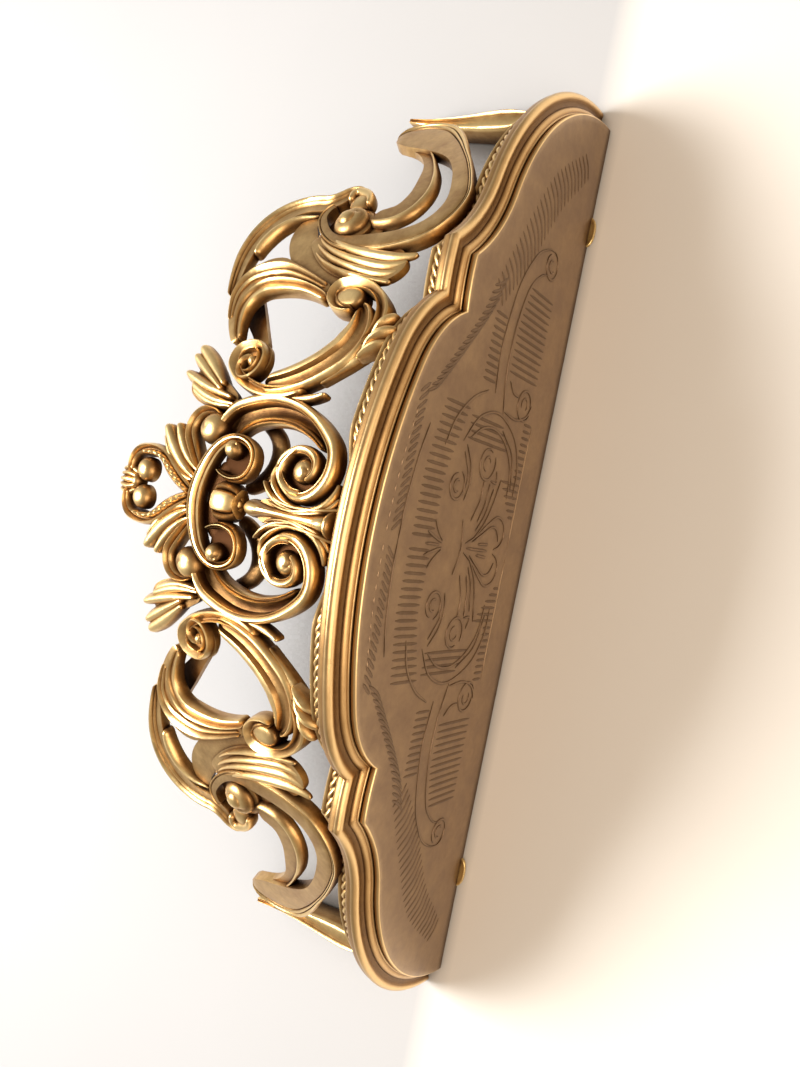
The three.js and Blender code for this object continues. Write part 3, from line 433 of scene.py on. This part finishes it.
run(S, (35.8, 100.5), 62.8, [(12.2, 36.7), (17.1, 120.1), (22.6, 12.2)], [1.8, 4.1, 7.8, 8.3, 7.2, 5.9, 3.2], "double", 4.2, depth=2.8, outer=-1)
dome(S, (30.4, 104.0), (7.4, 8.4), 6.0, lift=0.6, swirl=0.5)
run(S, (8.0, 104), 72, [(36, -38)], [6, 10, 12, 8], "web", 0.8, depth=2.8)
run(S, (6.9, 106.2), 73.0, [(39.0, -36.5)], [3.4, 6.6, 8.4, 6.0], "flute", 4.4, depth=2.8, caps=(0.8, 1.0))
run(S, (10.2, 104.7), 71.7, [(32.5, -42.5)], [3.0, 5.4, 6.8, 5.2], "flute", 4.0, depth=2.8, caps=(0.8, 1.0))
run(S, (5.7, 108.3), 85.0, [(34.7, -57.3)], [2.6, 4.6, 5.4, 3.6], "flute", 3.6, depth=2.8, caps=(0.8, 1.0))
run(S, (1.0, 106.5), 72.4, [(23.7, -17.5), (25.1, 52.4), (14.1, 113.4)], [5.0, 7.6, 8.2, 6.4, 5.6, 6.4, 4.2], "double", 4.2, depth=2.8, outer=-1)
run(S, (0.6, 108.5), 70, [(21.0, -14), (22, 50)], [2.2, 3.4, 3.4, 2.4], "roll", [5.6, 4.2] * 10, depth=2.4, step=0.5, outer=-1)
run(S, (0, 99), 90, [(12, 0)], [7, 5.5, 3.6], "flute", [2.6, 3.6, 2.0], depth=3.0, mirror=False)
dome(S, (6.5, 143.6), (5.9, 6.6), 5.6, lift=0.6)
dome(S, (0, 150), (3.4, 3.2), 4.6, mirror=False)
leaf(S, (0, 150), 90, [(13.5, 0)], [9, 15, 11], flutes=5, relief=4.2, mirror=False, depth=2.8)


# ------------------------------------------------------------------ shelf edge and rail, in plan
def mitre(a, b):
    """Cuts or extends the end of line a and the start of line b to where they meet."""
    for i in range(len(a) - 2, -1, -1):
        for j in range(len(b) - 1):
            p, q, r, s = a[i], a[i + 1], b[j], b[j + 1]
            d, e = q - p, s - r
            den = d[0] * e[1] - d[1] * e[0]
            if abs(den) < 1e-9:
                continue
            t = ((r[0] - p[0]) * e[1] - (r[1] - p[1]) * e[0]) / den
            w = ((r[0] - p[0]) * d[1] - (r[1] - p[1]) * d[0]) / den
            if t >= 0 and (t <= 1 or i == len(a) - 2) and w <= 1 and (w >= 0 or j == 0):
                c = p + t * d
                return np.vstack([a[: i + 1], c]), np.vstack([c, b[j + 1 :]])
    return a, b


def respace(line, n):
    d = np.hypot(*np.diff(line, axis=0).T)
    s = np.concatenate([[0], np.cumsum(d)])
    t = np.linspace(0, s[-1], n)
    return np.stack([np.interp(t, s, line[:, 0]), np.interp(t, s, line[:, 1])], 1)


def half_outline(out, step=2.0):
    """Half outline `out` outside the upper face's edge, mitred at the corners, and the row numbers of its corners."""
    runs = []
    for r in OUTLINE:
        P, A, s = walk(r["at"], r["dir"], r["arcs"], step)
        runs.append(P + np.stack([np.sin(A), -np.cos(A)], 1) * out)
    n = [len(r) for r in runs]
    runs[0], runs[1] = mitre(runs[0], runs[1])
    runs[1], runs[2] = mitre(runs[1], runs[2])
    runs = [respace(r, k) for r, k in zip(runs, n)]
    line = np.vstack([runs[0], runs[1][1:], runs[2][1:]])
    line[0, 0] = 0
    line[-1, 1] = 0
    return line, (n[0] - 1, n[0] + n[1] - 2)


def whole(line):
    return np.vstack([(line * [-1, 1])[:0:-1], line])


# moulding section from the upper arris down: (outside the edge, depth), with its value for the gilt colour: low in the
# grooves and cove (painted shade), high on the fillet and nose (rubbing plus painted highlight)
MOULD = [
    (-3.0, 0.0, 0.05), (-0.6, 0.0, 0.1), (-0.25, 0.12, 0.9), (0.05, 0.45, 1.0), (0.12, 1.6, 0.55), (0.0, 2.25, 0.7), (-0.5, 2.45, -0.1), (-0.8, 2.6, -0.3), (-0.7, 2.85, -0.2), (0.0, 2.95, 0.5),
    (0.4, 3.0, 0.95), (0.55, 3.3, 0.7), (0.7, 3.45, 0.0), (1.1, 3.5, 0.35), (1.9, 3.75, 0.42), (2.6, 4.25, 0.4), (3.05, 4.8, 0.2), (3.3, 5.5, -0.3), (4.2, 5.85, -0.35), (5.3, 5.85, -0.3), (6.3, 5.6, 0.0),
    (7.2, 5.25, 0.5), (8.1, 5.45, 0.6), (8.9, 5.95, 0.62), (9.4, 6.65, 0.5), (9.62, 7.4, 0.5), (9.55, 8.1, 0.2), (9.25, 8.5, -0.2), (9.2, 9.0, 0.0), (9.1, 10.2, 0.05), (8.8, 11.1, 0.0),
    (8.1, 11.75, 0.4), (7.0, 12.0, 0.3), (4.0, 12.0, 0.1),
]
shelf = Store()
rings = [whole(half_outline(p)[0]) for p, h, w in MOULD]
m = len(rings[0])
V = np.concatenate([np.column_stack([r, np.full(m, TOP - h)]) for r, (p, h, w) in zip(rings, MOULD)])
Wt = np.concatenate([np.full(m, w) for p, h, w in MOULD])
F = []
for k in range(len(MOULD) - 1):
    for i in range(m - 1):
        a, b = k * m + i, k * m + i + 1
        F.append((a, a + m, b + m, b))
shelf.add(V, F, Wt)
# upper face inside the arris, underside and back
inner = rings[0]
back_y = 0.0
F = []
V = []
nb = 26
for i in range(m):
    for j in range(nb):
        f = j / (nb - 1)
        V.append((inner[i, 0] * (1 - 0.0 * f), inner[i, 1] * (1 - f) + back_y * f, TOP))
idx = np.arange(m * nb).reshape(m, nb)
for i in range(m - 1):
    for j in range(nb - 1):
        F.append((idx[i, j], idx[i + 1, j], idx[i + 1, j + 1], idx[i, j + 1]))
# painted shade: the upper face gets a low colour value, and gilt_top gives it darker brown colours
shelf.add(V, F, np.full(len(V), 0.05))


# engraved pattern of the upper face: bars, feather strokes and scrolls, drawn on the right half and mirrored
def smooth_line(pts, step=0.9):
    p = np.asarray(pts, float)
    if len(p) > 2:
        e = np.vstack([2 * p[0] - p[1], p, 2 * p[-1] - p[-2]])
        t = np.linspace(0, 1, 10, endpoint=False)[:, None]
        q = []
        for i in range(1, len(e) - 2):
            a, b, c, d = e[i - 1 : i + 3]
            q.append(0.5 * (2 * b + (c - a) * t + (2 * a - 5 * b + 4 * c - d) * t**2 + (3 * b - a - 3 * c + d) * t**3))
        p = np.vstack(q + [p[-1:]])
    n = max(3, int(np.hypot(*np.diff(p, axis=0).T).sum() / step) + 1)
    return respace(p, n)


def rib(pts, width=0.9, height=0.3, tone=0.6, ends=0.15, both=True):
    line = smooth_line(pts)
    t = np.linspace(0, 1, len(line))
    d = np.gradient(line, axis=0)
    d /= np.linalg.norm(d, axis=1)[:, None]
    nrm = np.stack([-d[:, 1], d[:, 0]], 1)
    thin = ends + (1 - ends) * np.clip(np.minimum(t, 1 - t) * 5, 0, 1)
    rows = [np.column_stack([line + nrm * (k * width * thin)[:, None], TOP - 0.03 + z * height * np.minimum(1, thin * 2)]) for k, z in ((-0.5, 0), (-0.3, 0.8), (0, 1), (0.3, 0.8), (0.5, 0))]
    n = len(line)
    quads = [(k * n + i, k * n + i + 1, (k + 1) * n + i + 1, (k + 1) * n + i) for k in range(4) for i in range(n - 1)]
    R = np.concatenate(rows)
    for sg in (1, -1) if both else (1,):
        shelf.add(R * [sg, 1, 1], [q[::-1] for q in quads] if sg > 0 else quads, np.full(len(R), tone))


def ring(at, r, turn=0.0, sweep_deg=330, **kw):
    a = (turn + np.linspace(0, sweep_deg, 14)) * DEG
    rr = r * np.linspace(1, 0.82, 14)
    rib(np.stack([at[0] + rr * np.cos(a), at[1] + rr * np.sin(a)], 1), **kw)


def along(pts, spacing):
    """Evenly spaced points of a line and its running share."""
    line = smooth_line(pts, 0.5)
    s = np.concatenate([[0], np.cumsum(np.hypot(*np.diff(line, axis=0).T))])
    q = np.arange(0, s[-1], spacing)
    return np.stack([np.interp(q, s, line[:, 0]), np.interp(q, s, line[:, 1])], 1), q / s[-1]


# painted shade: bars and feather strokes are raised ribs given a dark colour value, in place of the shade in engraved
# grooves
BAR = dict(width=1.5, height=0.2, tone=-0.34, ends=0.3)
FEATHER = dict(width=1.6, height=0.3, tone=-0.3, ends=0.2)
SCROLL = dict(width=1.15, height=0.45, tone=0.0, ends=0.25)
for x in np.arange(80, 120, 3.2):
    rib([(x, -25), (x, -54.5 + max(0, x - 100) * 0.3)], **BAR)
for x in np.arange(17, 35, 3.1):
    rib([(x, -22), (x, -25 - (x - 14) * 0.9)], **BAR)
for x in np.arange(36, 62, 3.1):
    rib([(x, -22), (x, -30)], **BAR)
for x in np.arange(3, 58, 3.2):
    up = max(0, x - 30)
    rib([(x, -92 + up * 0.35), (x, -108.5 + up * 0.22)], **BAR)
for x in np.arange(46, 56, 3.1):
    rib([(x, -40 - (x - 46)), (x, -80)], **BAR)
for x in np.arange(72, 100, 3.1):
    rib([(x, -66.5 + abs(x - 85) * 0.05), (x, -77)], **BAR)
rib([(46, -111), (32, -114.5), (16, -116.8), (0, -117.5)], **SCROLL)
dash, f = along([(50, -121.2), (34, -124.2), (17, -126), (0, -126.5)], 5.0)
for (x, y), (x2, y2) in zip(dash[:-1], dash[1:]):
    rib([(x, y), (x + (x2 - x) * 0.6, y + (y2 - y) * 0.6)], width=1.0, height=0.3, tone=0.1)
rib([(0, -21.3), (31, -21.3), (62, -21.3)], width=0.9, height=0.25, tone=0.2)
for x in np.arange(3, 58, 3.3):
    rib([(x, -123.6 + x * 0.03), (x + 4.6, -118.2 + x * 0.04)], **FEATHER)
row, f = along([(57, -117.5), (75, -103), (95, -88.5), (110, -82)], 3.7)
for x, y in row:
    rib([(x, y), (x + 2.6, y + 5.6), (x + 6.4, y + 10.2)], **FEATHER)
row, f = along([(112, -81), (140, -66), (170, -48), (191, -22)], 4.0)
for (x, y), q in zip(row, f):
    l = 12 + 6 * math.sin(math.pi * q)
    rib([(x, y), (x - 0.30 * l, y + 0.42 * l), (x - 0.75 * l, y + 0.66 * l)], **FEATHER)
for line in (
    [(61, -53), (75, -56.5), (90, -57.5), (105, -55.5), (118, -51), (126, -43), (129, -35)],
    [(68, -64), (85, -66), (100, -64.5), (118, -60), (133, -50), (139, -40), (140, -34)],
    [(62, -52), (61, -40), (64, -30), (70, -26)],
    [(71, -41), (72, -47), (76, -52)],
    [(26, -27), (40, -28), (52, -36), (59, -50), (60, -62), (55, -74), (44, -83)],
    [(25, -33), (38, -35), (48, -44), (53, -56), (52, -68), (46, -78)],
    [(30, -31), (45, -36), (54, -50)],
    [(31, -52), (31, -46), (36, -48)],
    [(4, -58), (12, -50), (22, -45), (33, -42)],
    [(8, -57), (16, -51), (28, -47.5)],
    [(12, -57), (20, -53), (30, -52)],
    [(12, -63), (22, -58), (31, -58)],
    [(2, -64), (6, -55), (12, -46), (16, -38), (14, -31), (8, -28), (3, -31), (1, -36)],
    [(3, -58), (7, -50), (11, -42), (10, -36), (5, -33)],
    [(3, -42), (2.5, -52)],
    [(20, -73), (28, -70.5), (36, -73), (43, -79)],
    [(22, -75), (30, -73), (37, -77.5), (40, -80)],
    [(40, -97), (52, -92), (62, -82), (68, -70)],
    [(0, -67), (5, -67.5), (12, -70)],
    [(2, -84), (6, -89), (10, -92.5)],
    [(1, -84), (3, -91), (5, -97)],
):
    rib(line, **SCROLL)
rib([(0, -42), (0, -62)], both=False, **SCROLL)
rib([(0, -86), (0, -97)], both=False, **SCROLL)
for at, r, turn in (((133.5, -34), 6.6, 0), ((69, -33.5), 7.4, 120), ((38, -58), 7.6, 60), ((25.5, -81), 6.4, 20)):
    ring(at, r, turn, **SCROLL)
    ring(at, r * 0.45, turn + 120, 260, width=1.0, height=0.38, tone=0.0)
low = rings[-1]
V = np.vstack([np.column_stack([low, np.full(m, TOP - 12)]), np.column_stack([low[:, 0], np.zeros(m), np.full(m, TOP - 12)])])
F = [(i + 1, i, m + i, m + i + 1) for i in range(m - 1)]
shelf.add(V, F, np.full(len(V), 0.2))
prof = [(-rings[k][0, 0] * 0 + rings[k][0, 0], 0.0, TOP - MOULD[k][1]) for k in range(len(MOULD))]
back = [(x, 0.0, z) for x, _, z in prof] + [(-x, 0.0, z) for x, _, z in prof[::-1]]
shelf.add(back, [tuple(range(len(back)))[::-1]], np.full(len(back), 0.3))

# beaded rail under the edge: part of the apron casting
RAIL = dict(offset=2.5, centre=-4.5)


def rail_line(extra, step=0.7):
    line, corners = half_outline(RAIL["offset"] + extra, step)
    k = np.clip((40 - np.abs(line[:, 0])) / 22, 0, 1)
    line = line.copy()
    line[:, 1] -= (RAIL["centre"] - RAIL["offset"]) * k * k * (3 - 2 * k)
    line[-1, 1] = 0
    return line


RAIL_SEC = [(-6.5, 12.3, 0.2), (-1.8, 12.3, 0.2), (-1.2, 13.0, 0.3)]
rope_c, rope_h, rope_r = -0.3, 15.4, 2.5
for a in np.linspace(-70, 70, 9):
    RAIL_SEC.append((rope_c + rope_r * math.cos(a * DEG), rope_h + rope_r * math.sin(a * DEG), 0.8))
RAIL_SEC += [(0.6, 17.9, 0.2), (0.9, 18.4, 0.7), (1.0, 19.2, 0.9), (0.4, 19.9, 0.7), (-1.0, 20.3, 0.4), (-6.5, 20.3, 0.1)]
lines = [rail_line(p) for p, h, w in RAIL_SEC]
mm = len(lines[0])
mid = rail_line(0)
srun = np.concatenate([[0], np.cumsum(np.hypot(*np.diff(mid, axis=0).T))])
V, Wt = [], []
for (p, h, w), ln in zip(RAIL_SEC, lines):
    pts = ln.copy()
    wv = np.full(mm, w)
    if 0.8 == w and abs(h - rope_h) <= rope_r + 0.01:
        ang = math.asin(max(-1, min(1, (h - rope_h) / rope_r)))
        tw = np.abs(np.sin(math.pi * (srun / 4.4 - ang * 0.55)))
        cut = 1.15 * (1 - tw**0.55)
        d = np.gradient(pts, axis=0)
        d /= np.linalg.norm(d, axis=1)[:, None]
        nrm = np.stack([d[:, 1], -d[:, 0]], 1)
        pts = pts - nrm * (cut * math.cos(ang))[:, None]
        zz = TOP - h + cut * math.sin(ang)
        # painted shade and highlight as well as rubbing: the rope's twist grooves get a low colour value, its crests a
        # high one
        wv = 0.95 - 0.9 * (1 - tw) ** 1.2
    else:
        zz = np.full(mm, TOP - h)
    V.append(np.column_stack([pts, zz]))
    Wt.append(wv)
for sg in (1, -1):
    VV = np.concatenate(V) * [sg, 1, 1]
    F = []
    q = len(RAIL_SEC)
    for k in range(q):
        for i in range(mm - 1):
            a, b = k * mm + i, k * mm + i + 1
            c, d = ((k + 1) % q) * mm + i + 1, ((k + 1) % q) * mm + i
            F.append((a, d, c, b) if sg > 0 else (a, b, c, d))
    F.append(tuple(k * mm + mm - 1 for k in range(q))[:: -1 if sg > 0 else 1])
    S.add(VV, F, np.concatenate(Wt))


# end struts: a leaf-shaped leg at each end, in real space
def strut_space(side):
    def f(u, h, n):
        u, h, n = (np.asarray(v, float) for v in (u, h, n))
        return np.stack([side * (215 + u), -14 - n + 0 * u, TOP - h], -1)

    return f


for side in (-1, 1):
    sp = strut_space(side)
    P, A, s = walk((-1.0, 12.5), 89, [(60, 0), (38, -10)], 1.5)
    Wd = smooth_values([5, 5, 6.5, 11, 10.5, 8, 6, 4, 2.4], s / s[-1])
    tmp = Store()
    sweep(tmp, P, A, Wd, "lip", 2.6, depth=13.8, caps=(0, 1), mirror=False, space=sp)
    v = np.concatenate(tmp.v)
    S.add(v, [f[::-1] for f in tmp.f] if side < 0 else tmp.f, np.concatenate(tmp.w))

bracket = S.make("scroll_bracket_relief", 40)
top = shelf.make("shelf_moulding", 40)

# hangers
hang = []
for side, name in ((-1, "hanger_left_plate"), (1, "hanger_right_plate")):
    st = Store()
    n = 24
    shape = [(-7.4, -7.9), (7.4, -7.9), (7.4, -1.5)]
    for i in range(1, n):
        t = i / n * 2
        if t <= 1:
            a, b, c = (7.4, -1.5), (7.4, 2.9), (0, 2.9)
            q = t
        else:
            a, b, c = (0, 2.9), (-7.4, 2.9), (-7.4, -1.5)
            q = t - 1
        shape.append(((1 - q) ** 2 * a[0] + 2 * q * (1 - q) * b[0] + q * q * c[0], (1 - q) ** 2 * a[1] + 2 * q * (1 - q) * b[1] + q * q * c[1]))
    shape.append((-7.4, -1.5))
    cx, cz = 0.0, -2.5
    layers = [(-0.05, 1.0), (-1.25, 1.0), (-1.5, 0.965), (-1.5, 0.85), (-1.3, 0.8), (-1.3, 0.3)]
    V = []
    for y, k in layers:
        V += [(side * 162 + cx + (x - cx) * k, y, TOP + cz + (z - cz) * k) for x, z in shape]
    q = len(shape)
    F = [tuple(range(q))]
    for j in range(len(layers) - 1):
        F += [(j * q + i, (j + 1) * q + i, (j + 1) * q + (i + 1) % q, j * q + (i + 1) % q) for i in range(q)]
    F.append(tuple((len(layers) - 1) * q + i for i in range(q))[::-1])
    st.add(V, [f[::-1] for f in F], np.full(len(V), 0.8))
    hang.append(st.make(name, 30))


# ------------------------------------------------------------------ materials
def nodes_of(name):
    m = bpy.data.materials.new(name)
    m.use_nodes = True
    nt = m.node_tree
    nt.nodes.clear()
    out = nt.nodes.new("ShaderNodeOutputMaterial")
    bsdf = nt.nodes.new("ShaderNodeBsdfPrincipled")
    nt.links.new(bsdf.outputs[0], out.inputs[0])
    return m, nt, bsdf


def link(nt, a, b):
    nt.links.new(a, b)


def ramp(nt, src, stops, interp="LINEAR"):
    r = nt.nodes.new("ShaderNodeValToRGB")
    r.color_ramp.interpolation = interp
    e = r.color_ramp.elements
    while len(e) < len(stops):
        e.new(0.5)
    for el, (p, c) in zip(e, stops):
        el.position = p
        el.color = (*c, 1) if len(c) == 3 else c
    link(nt, src, r.inputs[0])
    return r.outputs[0]


def noise(nt, scale, detail=4, rough=0.55, vec=None, dist=0.0):
    n = nt.nodes.new("ShaderNodeTexNoise")
    n.inputs["Scale"].default_value = scale
    n.inputs["Detail"].default_value = detail
    n.inputs["Roughness"].default_value = rough
    n.inputs["Distortion"].default_value = dist
    if vec is not None:
        link(nt, vec, n.inputs["Vector"])
    return n.outputs["Fac"]


def maths(nt, op, a, b=None, c=None, clamp=False):
    n = nt.nodes.new("ShaderNodeMath")
    n.operation = op
    n.use_clamp = clamp
    for i, v in enumerate((a, b, c)):
        if v is None:
            continue
        if isinstance(v, (int, float)):
            n.inputs[i].default_value = v
        else:
            link(nt, v, n.inputs[i])
    return n.outputs[0]


def mixc(nt, fac, a, b, mode="MIX"):
    n = nt.nodes.new("ShaderNodeMix")
    n.data_type = "RGBA"
    n.blend_type = mode
    if isinstance(fac, (int, float)):
        n.inputs[0].default_value = fac
    else:
        link(nt, fac, n.inputs[0])
    for sock, v in ((n.inputs[6], a), (n.inputs[7], b)):
        if isinstance(v, tuple):
            sock.default_value = (*v, 1)
        else:
            link(nt, v, sock)
    return n.outputs[2]


def gold(name, light, mid, dark, metal=0.85, rough=0.36, mottle=1.0, grain=0.25, ao=0.012, shaded_top_colours=None):
    m, nt, b = nodes_of(name)
    tc = nt.nodes.new("ShaderNodeTexCoord").outputs["Object"]
    att = nt.nodes.new("ShaderNodeAttribute")
    att.attribute_name = "wear_and_shade"
    wear_and_shade = att.outputs["Fac"]
    # painted shade: the AO node darkens the colour in recesses
    aon = nt.nodes.new("ShaderNodeAmbientOcclusion")
    aon.inputs["Distance"].default_value = ao
    aon.samples = 6
    occ = aon.outputs["AO"]
    n1 = noise(nt, 90, 5, 0.6, tc)
    n2 = noise(nt, 420, 4, 0.6, tc)
    # 0 deep and dark, 1 bright: real rubbing of the raised gilt, plus painted shade from the AO node in recesses and
    #                            painted highlight where the per-vertex value is high, plus mottling
    rub_and_shade = maths(nt, "MULTIPLY", wear_and_shade, 0.42)
    rub_and_shade = maths(nt, "MULTIPLY_ADD", maths(nt, "POWER", occ, 2.0), 0.5, rub_and_shade)
    rub_and_shade = maths(nt, "MULTIPLY_ADD", maths(nt, "SUBTRACT", n1, 0.5), 0.4 * mottle, rub_and_shade)
    rub_and_shade = maths(nt, "MULTIPLY_ADD", maths(nt, "SUBTRACT", n2, 0.5), 0.16 * mottle, rub_and_shade)
    col = ramp(nt, rub_and_shade, [(0.16, dark), (0.5, mid), (0.88, light)])
    # painted shade: faces at the height of the upper face take darker brown copies of the gilt colours
    if shaded_top_colours:
        xyz = nt.nodes.new("ShaderNodeSeparateXYZ")
        link(nt, tc, xyz.inputs[0])
        flat = maths(nt, "MULTIPLY_ADD", xyz.outputs["Z"], 9000, -53.0, clamp=True)
        col = mixc(nt, flat, col, ramp(nt, rub_and_shade, [(0.16, shaded_top_colours[2]), (0.5, shaded_top_colours[1]), (0.88, shaded_top_colours[0])]))
    link(nt, col, b.inputs["Base Color"])
    b.inputs["Metallic"].default_value = metal
    r = maths(nt, "MULTIPLY_ADD", n1, 0.22, rough - 0.1)
    r = maths(nt, "MULTIPLY_ADD", maths(nt, "SUBTRACT", 0.6, rub_and_shade, clamp=True), 0.4, r)
    link(nt, r, b.inputs["Roughness"])
    bump = nt.nodes.new("ShaderNodeBump")
    bump.inputs["Strength"].default_value = grain
    bump.inputs["Distance"].default_value = 0.0004
    hgt = maths(nt, "MULTIPLY_ADD", n2, 0.6, maths(nt, "MULTIPLY", n1, 0.6))
    link(nt, hgt, bump.inputs["Height"])
    link(nt, bump.outputs[0], b.inputs["Normal"])
    return m


# light, mid, dark: gilt colours; the light one also serves as painted highlight
g_scroll = gold("gilt_scroll", (1.0, 0.725, 0.33), (0.47, 0.26, 0.092), (0.06, 0.022, 0.006), metal=0.95, rough=0.335, grain=0.45)
g_top = gold("gilt_top", (1.0, 0.72, 0.35), (0.44, 0.245, 0.09), (0.06, 0.024, 0.007), metal=0.92, rough=0.31, ao=0.006, mottle=0.35, shaded_top_colours=((1.0, 0.71, 0.36), (0.30, 0.20, 0.125), (0.055, 0.026, 0.01)))
g_brass = gold("brass", (0.85, 0.66, 0.32), (0.7, 0.5, 0.2), (0.3, 0.17, 0.05), rough=0.25)
for o, mt, nd, sl in ((bracket, g_scroll, "scroll_bracket", "gilt_scroll"), (top, g_top, "shelf_top", "gilt_top"), (hang[0], g_brass, "hanger_left", "brass"), (hang[1], g_brass, "hanger_right", "brass")):
    o.data.materials.append(mt)
    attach(o, "root")
    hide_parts(nd)

# ------------------------------------------------------------------ wall, light, camera
wm, nt, b = nodes_of("wall_paint")
tc = nt.nodes.new("ShaderNodeTexCoord").outputs["Object"]
n1 = noise(nt, 3, 3, 0.5, tc)
# painted shade: AO darkens the wall's colour under and around the shelf
aon = nt.nodes.new("ShaderNodeAmbientOcclusion")
aon.inputs["Distance"].default_value = 0.2
aon.samples = 16
shade = ramp(nt, aon.outputs["AO"], [(0.3, (0.15, 0.13, 0.11)), (0.5, (0.34, 0.32, 0.30)), (0.68, (0.88, 0.88, 0.88)), (0.8, (1, 1, 1))])
low = mixc(nt, 1.0, ramp(nt, n1, [(0.3, (0.565, 0.57, 0.58)), (0.7, (0.585, 0.59, 0.60))]), shade, "MULTIPLY")
# painted light: above the shelf the wall takes a brighter, warmer colour without the AO shade, standing in for warm
# light bounced off the gilt
xyz = nt.nodes.new("ShaderNodeSeparateXYZ")
link(nt, tc, xyz.inputs[0])
above = maths(nt, "MULTIPLY_ADD", xyz.outputs["Z"], 60, 0.3, clamp=True)
link(nt, mixc(nt, above, low, (0.9, 0.86, 0.80)), b.inputs["Base Color"])
b.inputs["Roughness"].default_value = 0.9
bump = nt.nodes.new("ShaderNodeBump")
bump.inputs["Strength"].default_value = 0.05
bump.inputs["Distance"].default_value = 0.0005
link(nt, noise(nt, 700, 3, 0.5, tc), bump.inputs["Height"])
link(nt, bump.outputs[0], b.inputs["Normal"])
# the wall is seen from the front only: from behind it is clear
geo = nt.nodes.new("ShaderNodeNewGeometry")
clear = nt.nodes.new("ShaderNodeBsdfTransparent")
mx = nt.nodes.new("ShaderNodeMixShader")
out = [n for n in nt.nodes if n.type == "OUTPUT_MATERIAL"][0]
link(nt, geo.outputs["Backfacing"], mx.inputs[0])
link(nt, b.outputs[0], mx.inputs[1])
link(nt, clear.outputs[0], mx.inputs[2])
link(nt, mx.outputs[0], out.inputs[0])
me = bpy.data.meshes.new("wall")
me.from_pydata([(-2.5, 0.0012, -2.5), (2.5, 0.0012, -2.5), (2.5, 0.0012, 2.5), (-2.5, 0.0012, 2.5)], [], [(0, 1, 2, 3)])
me.update()
wall = bpy.data.objects.new("wall", me)
bpy.context.scene.collection.objects.link(wall)
me.materials.append(wm)

bpy.context.scene.view_settings.view_transform = "Standard"
world = bpy.data.worlds.new("studio")
bpy.context.scene.world = world
world.use_nodes = True
wt = world.node_tree
bg = wt.nodes["Background"]
wc = wt.nodes.new("ShaderNodeTexCoord")
sx = wt.nodes.new("ShaderNodeSeparateXYZ")
wt.links.new(wc.outputs["Generated"], sx.inputs[0])
lift_z = maths(wt, "MULTIPLY_ADD", sx.outputs["Z"], 0.5, 0.5)
sky = ramp(wt, lift_z, [(0.0, (0.9, 0.9, 0.9)), (0.3, (0.6, 0.57, 0.53)), (0.5, (0.3, 0.25, 0.2)), (0.72, (0.8, 0.62, 0.46)), (1.0, (1.25, 0.98, 0.74))])
wt.links.new(sky, bg.inputs[0])
bg.inputs[1].default_value = 0.6


def area(name, loc, target, size, power, colour=(1, 1, 1), size_y=None):
    l = bpy.data.lights.new(name, "AREA")
    l.energy = power
    l.color = colour
    l.shape = "RECTANGLE"
    l.size = size
    l.size_y = size_y or size
    o = bpy.data.objects.new(name, l)
    o.location = loc
    o.rotation_euler = (Vector(target) - Vector(loc)).to_track_quat("-Z", "Y").to_euler()
    bpy.context.scene.collection.objects.link(o)
    return o


area("key_low", (0.1, -1.0, -0.95), (0, -0.03, -0.05), 0.7, 26, (1, 0.985, 0.965), 0.55)
area("fill_top", (0.12, -0.6, 0.75), (0, -0.02, 0.05), 0.8, 5.5, (1, 0.87, 0.72))

# camera from the photograph's perspective
f_px, W_px, H_px = 830.0, 800.0, 1067.0
el, yaw, roll = 32.44 * DEG, 2.14 * DEG, 0.72 * DEG
C = Vector((-12.1, -381.9, 168.5 + TOP)) * MM
Fv = Vector((math.sin(yaw) * math.cos(el), math.cos(yaw) * math.cos(el), -math.sin(el)))
R0 = Vector((math.cos(yaw), -math.sin(yaw), 0))
U0 = R0.cross(Fv)
Rv = R0 * math.cos(roll) + U0 * math.sin(roll)
Uv = U0 * math.cos(roll) - R0 * math.sin(roll)
X = -0.2018 * Rv + 0.9794 * Uv
Y = -(0.9794 * Rv + 0.2018 * Uv)
X.normalize()
Y = (Y - X * X.dot(Y)).normalized()
Z = X.cross(Y)
cam = bpy.data.objects.new("camera", bpy.data.cameras.new("camera"))
cam.data.sensor_width = 36
cam.data.lens = 36 * f_px / H_px
cam.data.clip_start = 0.01
cam.matrix_world = Matrix(((X.x, Y.x, Z.x, C.x), (X.y, Y.y, Z.y, C.y), (X.z, Y.z, Z.z, C.z), (0, 0, 0, 1)))
bpy.context.scene.collection.objects.link(cam)
bpy.context.scene.camera = cam
